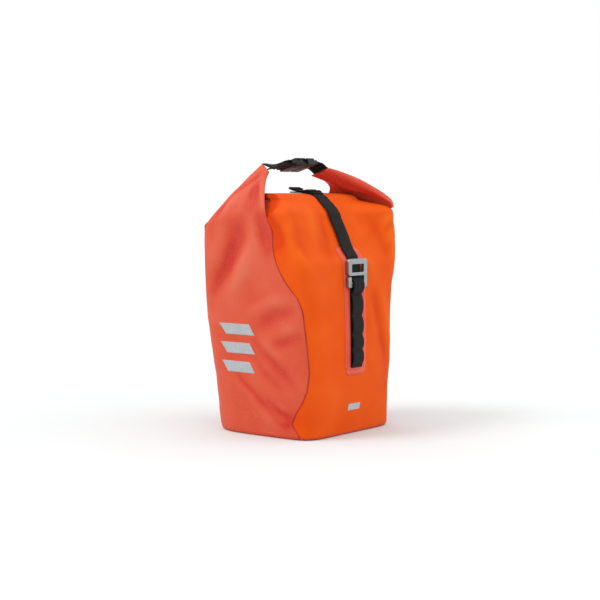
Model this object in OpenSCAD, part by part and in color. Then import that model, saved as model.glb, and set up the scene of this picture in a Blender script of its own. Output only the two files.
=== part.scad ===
// Roll-top pannier bag for a bicycle rack: welded fabric body, rolled top with
// a buckled carry loop, front strap with a G-shaped hook, and rack hardware on the back.
// Millimetres. +Z up, front face towards -Y, rack side towards +Y.
// The origin is the centre of the base.

/* [Body] */
// Half of the body width at the base
half_w_base = 100; // [90:1:104]
// Half of the body width under the rolled top
half_w_top = 109; // [100:1:114]
// Distance of the front face from the origin, at its fullest height
front_y = 97; // [88:1:102]
// Distance of the flat back face from the origin
back_y = 92; // [84:1:96]
// Height of the shoulder, where the walls turn in to the roll
shoulder_z = 300; // [285:1:306]
// Height of the neck, under the roll
neck_z = 318; // [314:1:322]
// Thickness of the welded fabric with its inner lining
wall = 2; // [1.5:0.1:2.5]
// Radius of the bottom edge
base_r = 6; // [3:0.5:10]

/* [Rolled top] */
// Half of the roll length
roll_half = 86; // [80:1:92]
// Depth of the roll, front to back
roll_d = 58; // [52:1:64]
// Height of the roll
roll_h = 13; // [10:0.5:15]

/* [Straps] */
// Width of the webbing
web_w = 26; // [20:1:28]
// Thickness of the webbing
web_t = 1.6; // [1.2:0.1:2]
// Height of the middle of the buckle
buckle_z = 371; // [366:1:374]
// Tilt of the carry loop, with its front edge up
loop_tilt = 18; // [0:1:20]

/* [Rack hooks] */
// Distance of each upper hook from the middle
hook_x = 44; // [38:1:60]
// Width of an upper hook
hook_w = 22; // [18:1:26]
// Height of the middle of the upper rail
rail_z = 240; // [236:1:244]
// Radius of the rack tube that the inserts take
tube_r = 5; // [4:0.5:5]
// Height of the middle of the lower rail
low_z = 64; // [50:1:80]
// Inner radius of the lower hook
low_r = 8.2; // [7:0.1:9]

/* [Hidden] */
$fn = 48;
orange = [0.92, 0.36, 0.11];
coral = [0.86, 0.37, 0.27];
coral_film = [0.88, 0.42, 0.33];
black = [0.14, 0.13, 0.13];
alloy = [0.6, 0.62, 0.64];
reflective = [0.67, 0.69, 0.7];
steel = [0.7, 0.7, 0.72];
gap = 0.3;

// Levels of the wall, as [height, value]
half_w_at = [[0, half_w_base], [60, half_w_base + 3], [120, half_w_base + 5],
    [200, half_w_top - 1], [230, half_w_top]];
front_at = [[0, front_y - 3], [60, front_y - 1], [120, front_y], [190, front_y - 2],
    [238, front_y - 4]];
front_square_at = [[0, 8], [60, 7], [150, 7.5], [230, 10]];
back_square_at = [[0, 3.2], [50, 3.8], [80, 4.3], [115, 5.5], [150, 7], [207, 10]];
// The seam between the front and a side, as [height, angle round from the front]
seam_at = [[6, 52.5], [22, 57.6], [35, 54.9], [53, 50.1], [67, 47.7], [91, 46.2], [138, 48.3],
    [175, 50.4], [192, 53.4], [209, 59.8], [226, 65], [238, 67.7], [256, 69.1], [280, 71],
    [300, 82], [320, 84]];
back_seam = 132;
seam_gap = 0.15;
// How far the strap pulls the upper front in, as [height, depth]
pull_at = [[238, 0], [252, 12], [279, 24], [300, 35.5]];
// Rise of the shoulder, as [angle round from the front, height]
rise_at = [[0, 0], [30, 0], [48, 5], [60, 3], [90, 0], [132, -10], [180, -10]];
rise_from = 238;
corner_turn = 48;
back_fullness = 4;
wall_steps = [0.001, 0.055, 0.1, 0.16, 0.21, 0.29, 0.37, 0.45, 0.52, 0.575, 0.635, 0.69, 0.75,
    232 / 294, 246 / 294, 273 / 294, 1];
dome_steps = [1.25, 1.5, 1.75, 2];
panel_steps = concat(wall_steps, dome_steps);
edge_steps = [-1, -0.75, -0.5, -0.25, 0];
neck_y = -13;
neck_half_d = 27;
dome_lift = 8;

function unit(v) = v / norm(v);
function mix(a, b, k) = a + (b - a) * k;
function turn(t) = t > 180 ? 360 - t : abs(t);
function square_reach(t, a, b, n) =
    1 / pow(pow(abs(sin(t)) / a, n) + pow(abs(cos(t)) / b, n), 1 / n);

// Plan of the body at a height, cut in by some distance
function plan(t, z, cut) = let (a = lookup(z, half_w_at) - cut)
    turn(t) <= 90
        ? square_reach(t, a, lookup(z, front_at) - cut, lookup(z, front_square_at))
        : min(square_reach(t, a, back_y + back_fullness - cut, lookup(z, back_square_at)),
            (back_y - cut) / abs(cos(t)));

// A point of the wall at angle t round from the front and height h
function wall_point(t, h) = let (
        r = plan(t, h, 0),
        w = 1 - pow(min(1, turn(t) / corner_turn), 2.5),
        pull = turn(t) < corner_turn ? w * (h > rise_from ? lookup(h, pull_at) : 0) : 0,
        rise = max(0, (h - rise_from) / (shoulder_z - rise_from)) * lookup(turn(t), rise_at))
    [r * sin(t), -r * cos(t) * (1 - pull / lookup(h, front_at)), h + rise];

function neck_point(t) = let (r = plan(t, shoulder_z, 0))
    [r * sin(t) * (roll_half + 2) / half_w_top,
        neck_y - r * cos(t) * neck_half_d / (front_y - 2), neck_z];

// The outer skin: s from -1 to 0 is the bottom edge, 0 to 1 the wall, 1 to 2 the dome
function skin(t, s) =
    s < 0 ? let (r = plan(t, 0, base_r * (1 - cos(90 * s))))
        [r * sin(t), -r * cos(t), base_r * (1 + sin(90 * s))]
    : s <= 1 ? wall_point(t, base_r + s * (shoulder_z - base_r))
    : let (k = s - 1, a = wall_point(t, shoulder_z), c = neck_point(t), b = a + [0, 0, dome_lift])
        mix(mix(a, b, k), mix(b, c, k), k);

function outward(t, s) = let (d = 0.004,
        across = skin(t + 1, s) - skin(t - 1, s),
        along = skin(t, min(2, s + d)) - skin(t, max(-1, s - d)))
    unit(cross(across, along));

function layer(t, s, out) = skin(t, s) + out * outward(t, s);
function seam(s) = lookup(base_r + s * (shoulder_z - base_r), seam_at);
function level(z) = (z - base_r) / (shoulder_z - base_r);
function patch(steps, edges, cols, out) = [for (r = [0:len(steps) - 1])
    [for (c = [0:cols]) layer(mix(edges[r][0], edges[r][1], c / cols), steps[r], out)]];
function flat(rows) = [for (row = rows) each row];

// A closed solid between an outer and an inner grid of points
module slab(outer, inner) {
    nr = len(outer) - 1;
    nc = len(outer[0]) - 1;
    n = (nr + 1) * (nc + 1);
    function o(r, c) = r * (nc + 1) + c;
    function i(r, c) = n + o(r, c);
    faces = [
        for (r = [0:nr - 1], c = [0:nc - 1]) each [
            [o(r, c), o(r + 1, c), o(r + 1, c + 1)], [o(r, c), o(r + 1, c + 1), o(r, c + 1)],
            [i(r, c), i(r + 1, c + 1), i(r + 1, c)], [i(r, c), i(r, c + 1), i(r + 1, c + 1)]],
        for (c = [0:nc - 1]) each [
            [o(0, c), o(0, c + 1), i(0, c + 1)], [o(0, c), i(0, c + 1), i(0, c)],
            [o(nr, c + 1), o(nr, c), i(nr, c)], [o(nr, c + 1), i(nr, c), i(nr, c + 1)]],
        for (r = [0:nr - 1]) each [
            [o(r + 1, 0), o(r, 0), i(r, 0)], [o(r + 1, 0), i(r, 0), i(r + 1, 0)],
            [o(r, nc), o(r + 1, nc), i(r + 1, nc)], [o(r, nc), i(r + 1, nc), i(r, nc)]]];
    polyhedron(concat(flat(outer), flat(inner)), faces);
}

// A closed solid from a stack of rings between two poles
module ring_stack(first, rings, last) {
    nr = len(rings) - 1;
    nc = len(rings[0]);
    end = 1 + (nr + 1) * nc;
    function p(r, c) = 1 + r * nc + c % nc;
    faces = [
        for (c = [0:nc - 1]) each [[0, p(0, c), p(0, c + 1)], [p(nr, c), end, p(nr, c + 1)]],
        for (r = [0:nr - 1], c = [0:nc - 1]) each [
            [p(r, c), p(r + 1, c), p(r + 1, c + 1)], [p(r, c), p(r + 1, c + 1), p(r, c + 1)]]];
    polyhedron(concat([first], flat(rings), [last]), faces);
}

// The outline of a band of even thickness along a path
function ribbon(path, t) = let (
        e = len(path) - 1,
        side = [for (i = [0:e]) let (d = unit(path[min(e, i + 1)] - path[max(0, i - 1)]))
            [-d[1], d[0]] * t / 2])
    concat([for (i = [0:e]) path[i] + side[i]], [for (i = [e:-1:0]) path[i] - side[i]]);

// Extrudes a [y, z] outline along X, or an [x, z] outline along Y, about the middle
module along_x(length) { rotate([90, 0, 90]) linear_extrude(length, center = true) children(); }
module along_y(length) { rotate([90, 0, 0]) linear_extrude(length, center = true) children(); }
module rounded(size, r) {
    hull()
        for (x = [-1, 1], y = [-1, 1])
            translate([x * (size[0] / 2 - r), y * (size[1] / 2 - r)]) circle(r, $fn = 24);
}
module box(lo, hi) { translate(lo) cube(hi - lo); }
module rod_x(x0, x1, r) { translate([x0, 0, 0]) rotate([0, 90, 0]) cylinder(x1 - x0, r = r); }
module rod_y(y0, y1, r) { translate([0, y0, 0]) rotate([-90, 0, 0]) cylinder(y1 - y0, r = r); }

// ---- Fabric body ----

module front_panel() {
    edges = [for (s = panel_steps) [-seam(s), seam(s)]];
    color(orange)
        slab(patch(panel_steps, edges, 18, 0), patch(panel_steps, edges, 18, -wall));
}

module side_panel() {
    edges = [for (s = panel_steps) [seam(s) + seam_gap, back_seam - seam_gap]];
    slab(patch(panel_steps, edges, 9, 0), patch(panel_steps, edges, 9, -wall));
}
module side_panel_right() { color(coral) side_panel(); }
module side_panel_left() { color(coral) mirror([1, 0, 0]) side_panel(); }

rail_screw_x = [-75, -15, 15, 75];
low_screw_x = [-50, 50];
screw_r = 2.5;
module screw_holes(r) {
    for (x = rail_screw_x) translate([x, 0, rail_z]) rod_y(back_y - 12, back_y + 12, r);
    for (x = low_screw_x) translate([x, 0, low_z]) rod_y(back_y - 12, back_y + 12, r);
}

module back_panel() {
    edges = [for (s = panel_steps) [back_seam, 360 - back_seam]];
    color(coral) difference() {
        slab(patch(panel_steps, edges, 24, 0), patch(panel_steps, edges, 24, -wall));
        screw_holes(screw_r + 0.1);
    }
}

ring_cols = 64;
module bottom_panel() {
    turns = [for (k = [0:ring_cols - 1]) k * 360 / ring_cols - 180];
    outside = [for (s = edge_steps) [for (t = turns) layer(t, s, 0)]];
    inside = [for (k = [len(edge_steps) - 1:-1:0]) [for (t = turns) layer(t, edge_steps[k], -wall)]];
    color(coral) ring_stack([0, 0, 0], concat(outside, inside), [0, 0, wall]);
}

plate_t = 2.4;
plate_y = back_y - wall - plate_t - 0.5;
module back_plate() {
    half = [[50, 16], [60, 52], [70, 92], [84, 150], [84, 272]];
    color(black) difference() {
        translate([0, plate_y + plate_t, 0]) rotate([90, 0, 0]) linear_extrude(plate_t)
            polygon(concat(half, [for (k = [4:-1:0]) [-half[k][0], half[k][1]]]));
        screw_holes(screw_r + 0.1);
    }
}

// ---- Rolled top ----

roll_mid = [neck_y, neck_z + roll_h / 2];
strip_size = [34, 2.2];
module roll_closure() {
    color(orange) along_x(2 * roll_half) translate(roll_mid) difference() {
        rounded([roll_d, roll_h], roll_h / 2 - 0.2);
        square(strip_size + [0.2, 0.2], center = true);
    }
}
module closure_strip() {
    color(black) along_x(2 * roll_half - 6) translate(roll_mid) square(strip_size, center = true);
}

// An ear: a bulged sheet from a base line up to the line where the webbing is sewn on
ear_t = 2.4;
ear_rows = 8;
ear_cols = 8;
function ear_point(base, tip, bulge, u, v) =
    mix(mix(base[0], base[1], u), mix(tip[0], tip[1], u), v) + bulge * 16 * u * (1 - u) * v * (1 - v);
function ear_grid(base, tip, bulge, shift) = [for (r = [0:ear_rows])
    [for (c = [0:ear_cols]) ear_point(base, tip, bulge, c / ear_cols, r / ear_rows) + shift]];
module ear_left() {
    base = [[-104.5, 79, 308], [-102.5, -9, 312]];
    tip = [[-75, 18, 361], [-75, -8, 369.5]];
    bulge = [-7, 0, 0];
    color(coral) slab(ear_grid(base, tip, bulge, [0, 0, 0]), ear_grid(base, tip, bulge, [ear_t, 0, 0.6]));
}
module ear_right() {
    base = [[108, -78, 314], [106, 74, 305]];
    tip = [[45, -20, 366.5], [45, 13, 356]];
    bulge = [12, 0, 8];
    color(coral) slab(ear_grid(base, tip, bulge, [0, 0, 0]),
        ear_grid(base, tip, bulge, [-ear_t * 0.7, 0, -ear_t * 0.7]));
}

// ---- Carry loop: the buckle and its webbing lie along X in a tilted frame ----

buckle_y = 3;
module on_loop() { translate([0, buckle_y, buckle_z]) rotate([-loop_tilt, 0, 0]) children(); }

socket_x0 = -31;
socket_x1 = -1;
tongue_x1 = 25;
buckle_half_w = 16.5;
buckle_half_t = 4.8;
bar_w = 2.6;
slot_w = 3.6;
pocket_half_t = 3.2;

module webbing_left() {
    bar = socket_x0 + bar_w / 2;
    path = [[-79, -4.6], [-75, -3.4], [-66, -1.6], [-55, -0.2], [-42, 1.4], [bar - 3, 2.6], [bar, 2.8],
        [bar + 1.9, 2.3], [bar + 3, 0.8], [bar + 3, -0.8], [bar + 1.9, -2.3], [bar, -2.8],
        [bar - 3, -2.2], [-44, -0.9], [-50, -1.9]];
    color(black) on_loop() along_y(web_w) polygon(ribbon(path, web_t));
}

module buckle_socket() {
    color(black) on_loop() difference() {
        union() {
            box([socket_x0, -buckle_half_w + 1.5, -1.8], [socket_x0 + bar_w, buckle_half_w - 1.5, 1.8]);
            for (s = [-1, 1])
                translate([0, s * (buckle_half_w - 2.2), 0])
                    box([socket_x0, -1.2, -2.6], [-22, 1.2, 2.6]);
            translate([(socket_x0 + bar_w + slot_w + socket_x1) / 2, 0, -buckle_half_t])
                linear_extrude(2 * buckle_half_t)
                    rounded([socket_x1 - socket_x0 - bar_w - slot_w, 2 * buckle_half_w], 3);
        }
        box([-20, -buckle_half_w - 1, -pocket_half_t], [socket_x1 + 1, buckle_half_w + 1, pocket_half_t]);
    }
}

arm_y = 10.5;
arm_x = 2.2;
arm_root_r = 1.8;
arm_half_t = 2.7;
module buckle_tongue() {
    color(black) on_loop() difference() {
        union() {
            translate([(0.4 + tongue_x1 - bar_w - slot_w) / 2, 0, -buckle_half_t])
                linear_extrude(2 * buckle_half_t)
                    rounded([tongue_x1 - bar_w - slot_w - 0.4, 2 * buckle_half_w], 2);
            box([tongue_x1 - bar_w, -buckle_half_w + 1.5, -1.8], [tongue_x1, buckle_half_w - 1.5, 1.8]);
            for (s = [-1, 1])
                translate([0, s * (buckle_half_w - 2.2), 0])
                    box([17, -1.2, -2.6], [tongue_x1, 1.2, 2.6]);
            box([-18.5, -2.4, -2.4], [1, 2.4, 2.4]);
        }
        for (s = [-1, 1]) {
            translate([arm_x, s * arm_y, -3]) cylinder(6, r = arm_root_r + 0.08);
            box([-1, s > 0 ? 4.5 : -buckle_half_w - 1, -3], [arm_x, s > 0 ? buckle_half_w + 1 : -4.5, 3]);
        }
    }
}

// One squeeze arm, drawn for the back (+Y) side, pivoted in the tongue
module buckle_arm() {
    translate([arm_x, arm_y, -arm_half_t]) cylinder(2 * arm_half_t, r = arm_root_r);
    translate([0, 0, -arm_half_t]) linear_extrude(2 * arm_half_t)
        polygon([[arm_x, arm_y - 1.5], [-8, arm_y - 1.6], [-17.5, arm_y - 2.2], [-19.3, arm_y - 0.6],
            [-18.8, 13.4], [-16.5, 15.6], [-12.5, 16.4], [-9, 15.6], [-7.4, 13.2], [-6, 12.1],
            [arm_x, arm_y + 1.5]]);
}
module buckle_arm_back() { color(black) on_loop() buckle_arm(); }
module buckle_arm_front() { color(black) on_loop() mirror([0, 1, 0]) buckle_arm(); }

module webbing_right() {
    bar = tongue_x1 - bar_w / 2;
    path = [[36, -1.9], [31, -2.6], [bar, -2.8], [bar - 1.9, -2.3], [bar - 3, -0.8], [bar - 3, 0.8],
        [bar - 1.9, 2.3], [bar, 2.8], [31, 1.8], [37, 0], [43, -3.4]];
    color(black) on_loop() along_y(web_w) polygon(ribbon(path, web_t));
}

// ---- Front strap, hook and daisy chain ----

patch_t = 1;
patch_gap = 0.3;
patch_steps = concat([level(86)], [for (s = wall_steps) if (s > level(89) && s < level(253.5)) s], [level(254)]);
patch_turn = 13.5;
module strap_patch() {
    edges = [for (s = patch_steps) [-patch_turn, patch_turn]];
    color(coral_film)
        slab(patch(patch_steps, edges, 8, patch_gap + patch_t), patch(patch_steps, edges, 8, patch_gap));
}

// The middle line of the front face, as [y, z], some distance out from it
function front_line(z, out) = let (s = level(z), p = layer(0, s, out)) [p[1], p[2]];
lie = patch_gap + patch_t + web_t / 2 + 0.35;
loop_marks = [[218.5, 0], [215.5, 2.8], [212, 6.1], [206.5, 6.5], [201, 6.1], [197.5, 2.8], [194, 0.6],
    [190, 0], [185, 2], [178.5, 3.4], [172, 2.6], [166, 0.8],
    [163, 0], [159, 1.6], [153, 3], [148, 3], [142, 1.6],
    [137, 0], [133, 1.6], [127, 3], [122, 2],
    [117, 0], [113, 2], [107, 3], [102, 2.2], [98, 0], [94, 0]];
module daisy_chain() {
    path = [for (m = loop_marks) front_line(m[0], lie + m[1])];
    color(black) along_x(web_w - 2) polygon(ribbon(path, web_t));
}

hook_t = 4;
hook_mid_z = 221;
hook_base = front_line(hook_mid_z, lie + web_t / 2 + 0.3);
module front_strap() {
    over_roll = [for (y = [12, -24, -36]) [y, neck_z + roll_h + web_t / 2 + gap]];
    edge = [[-42.5, neck_z + roll_h - 1.7], [-46.5, neck_z + roll_h - 10]];
    down = [for (z = [300, 285, 270, 256, 247]) front_line(z, lie + 1.2)];
    hook_end = [front_line(242, lie + 0.9), front_line(238.6, lie + 0.5), front_line(236.6, lie + 0.4),
        front_line(231, lie + 0.1), front_line(225, lie)];
    color(black) along_x(web_w) polygon(ribbon(concat(over_roll, edge, down, hook_end), web_t));
}
module strap_tail() {
    top = neck_z + roll_h + 2 * web_t + gap;
    path = [[-38, top - 0.6], [-30, top], [-14, top], [-3, top + 1.2], [5, top + 4]];
    color(black) along_x(web_w - 1) polygon(ribbon(path, web_t));
}

module g_hook() {
    color(alloy) translate([0, hook_base[0], hook_mid_z]) rotate([90, 0, 0]) linear_extrude(hook_t)
        difference() {
            union() {
                translate([0, 9.5]) rounded([43, 23], 4);
                translate([18, -3]) rounded([7, 26], 3);
                translate([0, -14.5]) rounded([43, 8], 3.6);
                translate([-18, -11]) rounded([7, 15], 3.4);
            }
            translate([0, 8]) rounded([28, 11.5], 1.5);
        }
}

// ---- Reflective marks: plain slanted bars on the sides, a short bar on the front ----

mark_t = 0.35;
module mark_bar(t0, t1, z0, z1, lean) {
    steps = [for (k = [0:3]) level(mix(z0, z1, k / 3))];
    edges = [for (k = [0:3]) [t0 + lean * k / 3, t1 + lean * k / 3]];
    slab(patch(steps, edges, 6, patch_gap + mark_t), patch(steps, edges, 6, patch_gap));
}
module side_mark() {
    for (z = [86, 112, 138]) mark_bar(88, 114, z, z + 15, 5);
}
module side_mark_right() { color(reflective) side_mark(); }
module side_mark_left() { color(reflective) mirror([1, 0, 0]) side_mark(); }
module front_mark() { color(reflective) mark_bar(-9, 7, 32, 44, 0); }

// ---- Upper rail, hooks and latches; every y below is measured out from the back face ----

module on_back(z) { translate([0, back_y, z]) children(); }
flange_y0 = 3;
flange_y1 = 7;
flange_half = 12;
web_half = 5;
rail_half = 88;
module rail_bar(half_len, half_h, y0, y1, stem_half) {
    along_x(2 * half_len) {
        translate([y0, -half_h]) square([y1 - y0, 2 * half_h]);
        translate([0, -stem_half]) square([y0, 2 * stem_half]);
    }
}
module upper_rail() {
    color(black) difference() {
        on_back(rail_z) rail_bar(rail_half, flange_half, flange_y0, flange_y1, web_half);
        for (x = rail_screw_x)
            translate([x, back_y, rail_z]) rod_y(-1, flange_y1 - 1, screw_r);
    }
}

// A screw from inside the bag: washer and head on the plate, shank out to the rail
washer_t = 1;
washer_r = 6;
head_t = 2.6;
head_r = 4.5;
module screw(x, z, tip_y) {
    translate([x, 0, z]) difference() {
        union() {
            rod_y(plate_y - washer_t, back_y + tip_y, screw_r);
            rod_y(plate_y - washer_t - head_t, plate_y - washer_t, head_r);
        }
        translate([0, plate_y - washer_t - head_t - 1, 0]) rotate([-90, 0, 0]) cylinder(2.6, r = 1.6, $fn = 6);
    }
}
module rail_screws() { color(steel) for (x = rail_screw_x) screw(x, rail_z, flange_y1 - 1); }
module lower_rail_screws() { color(steel) for (x = low_screw_x) screw(x, low_z, low_flange_y1 - 1); }
module rail_washers() {
    color(steel) {
        for (x = rail_screw_x) washer(x, rail_z);
        for (x = low_screw_x) washer(x, low_z);
    }
}
module washer(x, z) {
    translate([x, 0, z]) difference() {
        rod_y(plate_y - washer_t, plate_y, washer_r);
        rod_y(plate_y - washer_t - 1, plate_y + 1, screw_r + 0.1);
    }
}

arch_y = 24.8;
arch_z = 22;
insert_r = tube_r + 1.25;
arch_in = insert_r + gap / 6;
arch_out = arch_in + 3.5;
pivot_y = 14;
pivot_z = 11;
pin_r = 1.5;
slot_half = 6.5;
base_y0 = flange_y1 + gap;
inner_y = arch_y - arch_in;
outer_y = arch_y + arch_in;
// The side outline of an upper hook, as [y, z] from the rail's middle
module hook_outline() {
    difference() {
        union() {
            translate([base_y0, -18]) square([inner_y - base_y0, 42]);
            translate([0.4, flange_half + gap]) square([base_y0 - 0.4, 3.2]);
            translate([0.4, -flange_half - gap - 3.2]) square([base_y0 - 0.4, 3.2]);
            for (s = [-1, 1])
                translate([0.4, s > 0 ? web_half + 1.5 : -flange_half - gap])
                    square([flange_y0 - gap - 0.4, flange_half - web_half - 1.5 + gap]);
            translate([arch_y, arch_z]) intersection() {
                circle(arch_out);
                translate([-arch_out, 0]) square([2 * arch_out, arch_out]);
            }
            translate([outer_y, 8]) square([arch_out - arch_in, arch_z - 8]);
        }
        translate([arch_y, arch_z]) circle(arch_in);
        translate([inner_y, 0]) square([2 * arch_in, arch_z]);
    }
}
module upper_hook(x) {
    color(black) translate([x, back_y, rail_z]) difference() {
        union() {
            along_x(hook_w) hook_outline();
            translate([0, outer_y + 1.75, 8]) rod_x(-hook_w / 2, hook_w / 2, 1.75);
        }
        box([-slot_half, base_y0 - 1, -2], [slot_half, inner_y + 0.1, arch_z]);
        box([-slot_half, -1, flange_half + 0.1], [slot_half, base_y0 + 2.6, arch_z + 3]);
        translate([0, pivot_y, pivot_z]) rod_x(-hook_w / 2 - 1, hook_w / 2 + 1, pin_r);
    }
}
module hook_left() { upper_hook(-hook_x); }
module hook_right() { upper_hook(hook_x); }

module tube_insert(x) {
    color([0.3, 0.3, 0.3]) translate([x, back_y + arch_y, rail_z + arch_z]) along_x(hook_w - 1)
        difference() {
            union() {
                circle(insert_r);
                translate([-insert_r, -3]) square([2 * insert_r, 3]);
            }
            circle(tube_r + 0.05);
            translate([-tube_r - 0.05, -insert_r - 1]) square([2 * tube_r + 0.1, insert_r + 1]);
            translate([-insert_r - 1, -insert_r - 4]) square([2 * insert_r + 2, insert_r + 1]);
        }
}
module tube_insert_left() { tube_insert(-hook_x); }
module tube_insert_right() { tube_insert(hook_x); }

module at_pivot(x) { translate([x, back_y + pivot_y, rail_z + pivot_z]) children(); }
module latch_pins() {
    color(steel) for (x = [-hook_x, hook_x]) at_pivot(x) rod_x(-hook_w / 2, hook_w / 2, pin_r);
}
spring_wire = 0.45;
module latch_springs() {
    color(steel) for (x = [-hook_x, hook_x], k = [4.8, 5.9])
        at_pivot(x) translate([k, 0, 0]) rotate([0, 90, 0])
            rotate_extrude() translate([pin_r + spring_wire + 0.15, 0]) circle(spring_wire, $fn = 16);
}

// The latch: a nose under the tube, and a short tail that the lug pushes up
latch_half = 4;
module latch(x) {
    color(black) at_pivot(x) difference() {
        union() {
            rod_x(-latch_half, latch_half, 3.2);
            box([-latch_half, -4.8, -2], [latch_half, 0, 2]);
            along_x(2 * latch_half)
                polygon([[0, 3], [6.2, 4.8], [13.3, 4.8], [14.6, 3.4], [13.6, 1.6], [8, -0.6], [0, -3]]);
        }
        rod_x(-latch_half - 1, latch_half + 1, pin_r + 0.05);
    }
}
module latch_left() { latch(-hook_x); }
module latch_right() { latch(hook_x); }

pull_strap_z0 = 42;
pull_strap_z1 = 60;
lug_y0 = flange_y1 + 0.5;
lug_y1 = lug_y0 + 1;
module release_lugs() {
    foot_top = pivot_z - 2.3;
    color(black) for (x = [-hook_x, hook_x]) translate([x, back_y, rail_z]) {
        box([-latch_half, lug_y0, foot_top - 3], [latch_half, lug_y1, pull_strap_z1 - 6]);
        box([-latch_half, lug_y1, foot_top - 3], [latch_half, lug_y1 + 1.3, foot_top]);
    }
}
module release_strap() {
    color(black) translate([0, back_y + lug_y1, rail_z + (pull_strap_z0 + pull_strap_z1) / 2])
        rotate([-90, 0, 0]) linear_extrude(1.8)
            rounded([2 * hook_x + 16, pull_strap_z1 - pull_strap_z0], 4);
}

// ---- Lower rail with its sliding, swivelling hook ----

low_half = 60;
low_flange_half = 10;
low_flange_y0 = 2.6;
low_flange_y1 = 6;
low_stem = 5;
module lower_rail() {
    color(black) difference() {
        on_back(low_z) rail_bar(low_half, low_flange_half, low_flange_y0, low_flange_y1, low_stem);
        for (x = low_screw_x)
            translate([x, back_y, low_z]) rod_y(-1, low_flange_y1 - 1, screw_r);
    }
}
slider_half = 12;
slider_y0 = 0.4;
slider_y1 = 10;
pivot_end = 14.9;
pivot_r = 3;
module lower_slider() {
    color(black) translate([0, back_y, low_z]) {
        along_x(2 * slider_half) difference() {
            translate([slider_y0, -13]) square([slider_y1 - slider_y0, 26]);
            translate([low_flange_y0 - gap, -low_flange_half - gap])
                square([low_flange_y1 - low_flange_y0 + 2 * gap, 2 * (low_flange_half + gap)]);
            translate([0, -low_stem - gap]) square([low_flange_y0, 2 * (low_stem + gap)]);
        }
        difference() {
            rod_y(slider_y1 - 1, pivot_end, pivot_r);
            rod_y(slider_y1 + 0.5, pivot_end + 1, 1.5);
        }
    }
}
leg_y0 = slider_y1 + gap;
leg_t = 4;
leg_y1 = leg_y0 + leg_t;
low_hook_x = 30;
low_hook_half = 8;
module pivot_screw() {
    color(steel) translate([0, back_y, low_z]) difference() {
        union() {
            rod_y(slider_y1 + 0.5, pivot_end, 1.5);
            rod_y(pivot_end, pivot_end + 2.2, 5);
        }
        translate([0, pivot_end + 0.8, 0]) rotate([-90, 0, 0]) cylinder(3, r = 1.6, $fn = 6);
    }
}
module lower_hook() {
    mid_y = leg_y1 + low_r;
    color(black) translate([0, back_y, low_z]) difference() {
        union() {
            translate([0, 0, -low_hook_half]) linear_extrude(2 * low_hook_half) {
                translate([0, leg_y0]) square([low_hook_x, leg_t]);
                translate([8, mid_y + low_r]) square([low_hook_x - 8, leg_t]);
                translate([8, mid_y + low_r + leg_t / 2]) circle(leg_t / 2);
                translate([low_hook_x, mid_y]) difference() {
                    circle(low_r + leg_t);
                    circle(low_r);
                    translate([-2 * low_r, -2 * low_r]) square([2 * low_r, 4 * low_r]);
                }
            }
            rod_y(leg_y0, leg_y1, low_hook_half);
        }
        rod_y(leg_y0 - 1, leg_y1 + 1, pivot_r + 0.05);
    }
}

front_panel();
side_panel_left();
side_panel_right();
back_panel();
bottom_panel();
back_plate();
roll_closure();
closure_strip();
ear_left();
webbing_left();
buckle_socket();
strap_patch();
daisy_chain();
front_strap();
strap_tail();
g_hook();
side_mark_left();
side_mark_right();
front_mark();
upper_rail();
rail_screws();
rail_washers();
hook_left();
hook_right();
tube_insert_left();
tube_insert_right();
latch_pins();
latch_springs();
lower_rail();
lower_rail_screws();
ear_right();
webbing_right();
buckle_tongue();
buckle_arm_front();
buckle_arm_back();
release_strap();
release_lugs();
latch_left();
latch_right();
lower_slider();
lower_hook();
pivot_screw();
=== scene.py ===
"""Roll-top pannier bag: welded fabric body, webbing, buckle and rack hardware."""
import math

import bmesh
import bpy
import numpy as np
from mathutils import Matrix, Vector, noise


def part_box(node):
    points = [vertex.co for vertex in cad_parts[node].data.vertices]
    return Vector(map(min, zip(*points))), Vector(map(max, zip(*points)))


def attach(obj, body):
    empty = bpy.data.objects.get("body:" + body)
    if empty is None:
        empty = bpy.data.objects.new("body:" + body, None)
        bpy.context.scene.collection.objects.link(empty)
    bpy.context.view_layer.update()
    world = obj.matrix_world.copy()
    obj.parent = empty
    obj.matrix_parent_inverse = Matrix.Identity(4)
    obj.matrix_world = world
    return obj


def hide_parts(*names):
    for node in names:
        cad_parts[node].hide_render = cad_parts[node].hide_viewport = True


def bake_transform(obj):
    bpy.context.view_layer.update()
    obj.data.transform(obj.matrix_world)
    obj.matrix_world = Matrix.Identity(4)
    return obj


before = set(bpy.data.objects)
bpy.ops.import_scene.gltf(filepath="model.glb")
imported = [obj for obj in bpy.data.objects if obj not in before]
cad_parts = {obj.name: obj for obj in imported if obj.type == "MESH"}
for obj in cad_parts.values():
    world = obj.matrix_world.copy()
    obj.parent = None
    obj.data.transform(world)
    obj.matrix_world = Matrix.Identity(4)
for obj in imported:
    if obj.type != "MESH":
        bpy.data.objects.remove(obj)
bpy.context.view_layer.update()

MM = 0.001


# ---------------------------------------------------------------- camera and light

def make_camera():
    data = bpy.data.cameras.new("camera")
    data.lens = 86.7
    data.sensor_width = 36.0
    cam = bpy.data.objects.new("camera", data)
    cam.location = (-1.610, -1.258, 0.332)
    cam.rotation_euler = (math.radians(85.76), 0.0, math.radians(-52.0))
    bpy.context.scene.collection.objects.link(cam)
    bpy.context.scene.camera = cam


def sun(name, towards, strength, angle):
    """A soft distant light that shines from the given direction."""
    data = bpy.data.lights.new(name, "SUN")
    data.energy = strength
    data.angle = math.radians(angle)
    lamp = bpy.data.objects.new(name, data)
    lamp.rotation_euler = Vector(towards).to_track_quat("Z", "Y").to_euler()
    bpy.context.scene.collection.objects.link(lamp)


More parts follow.
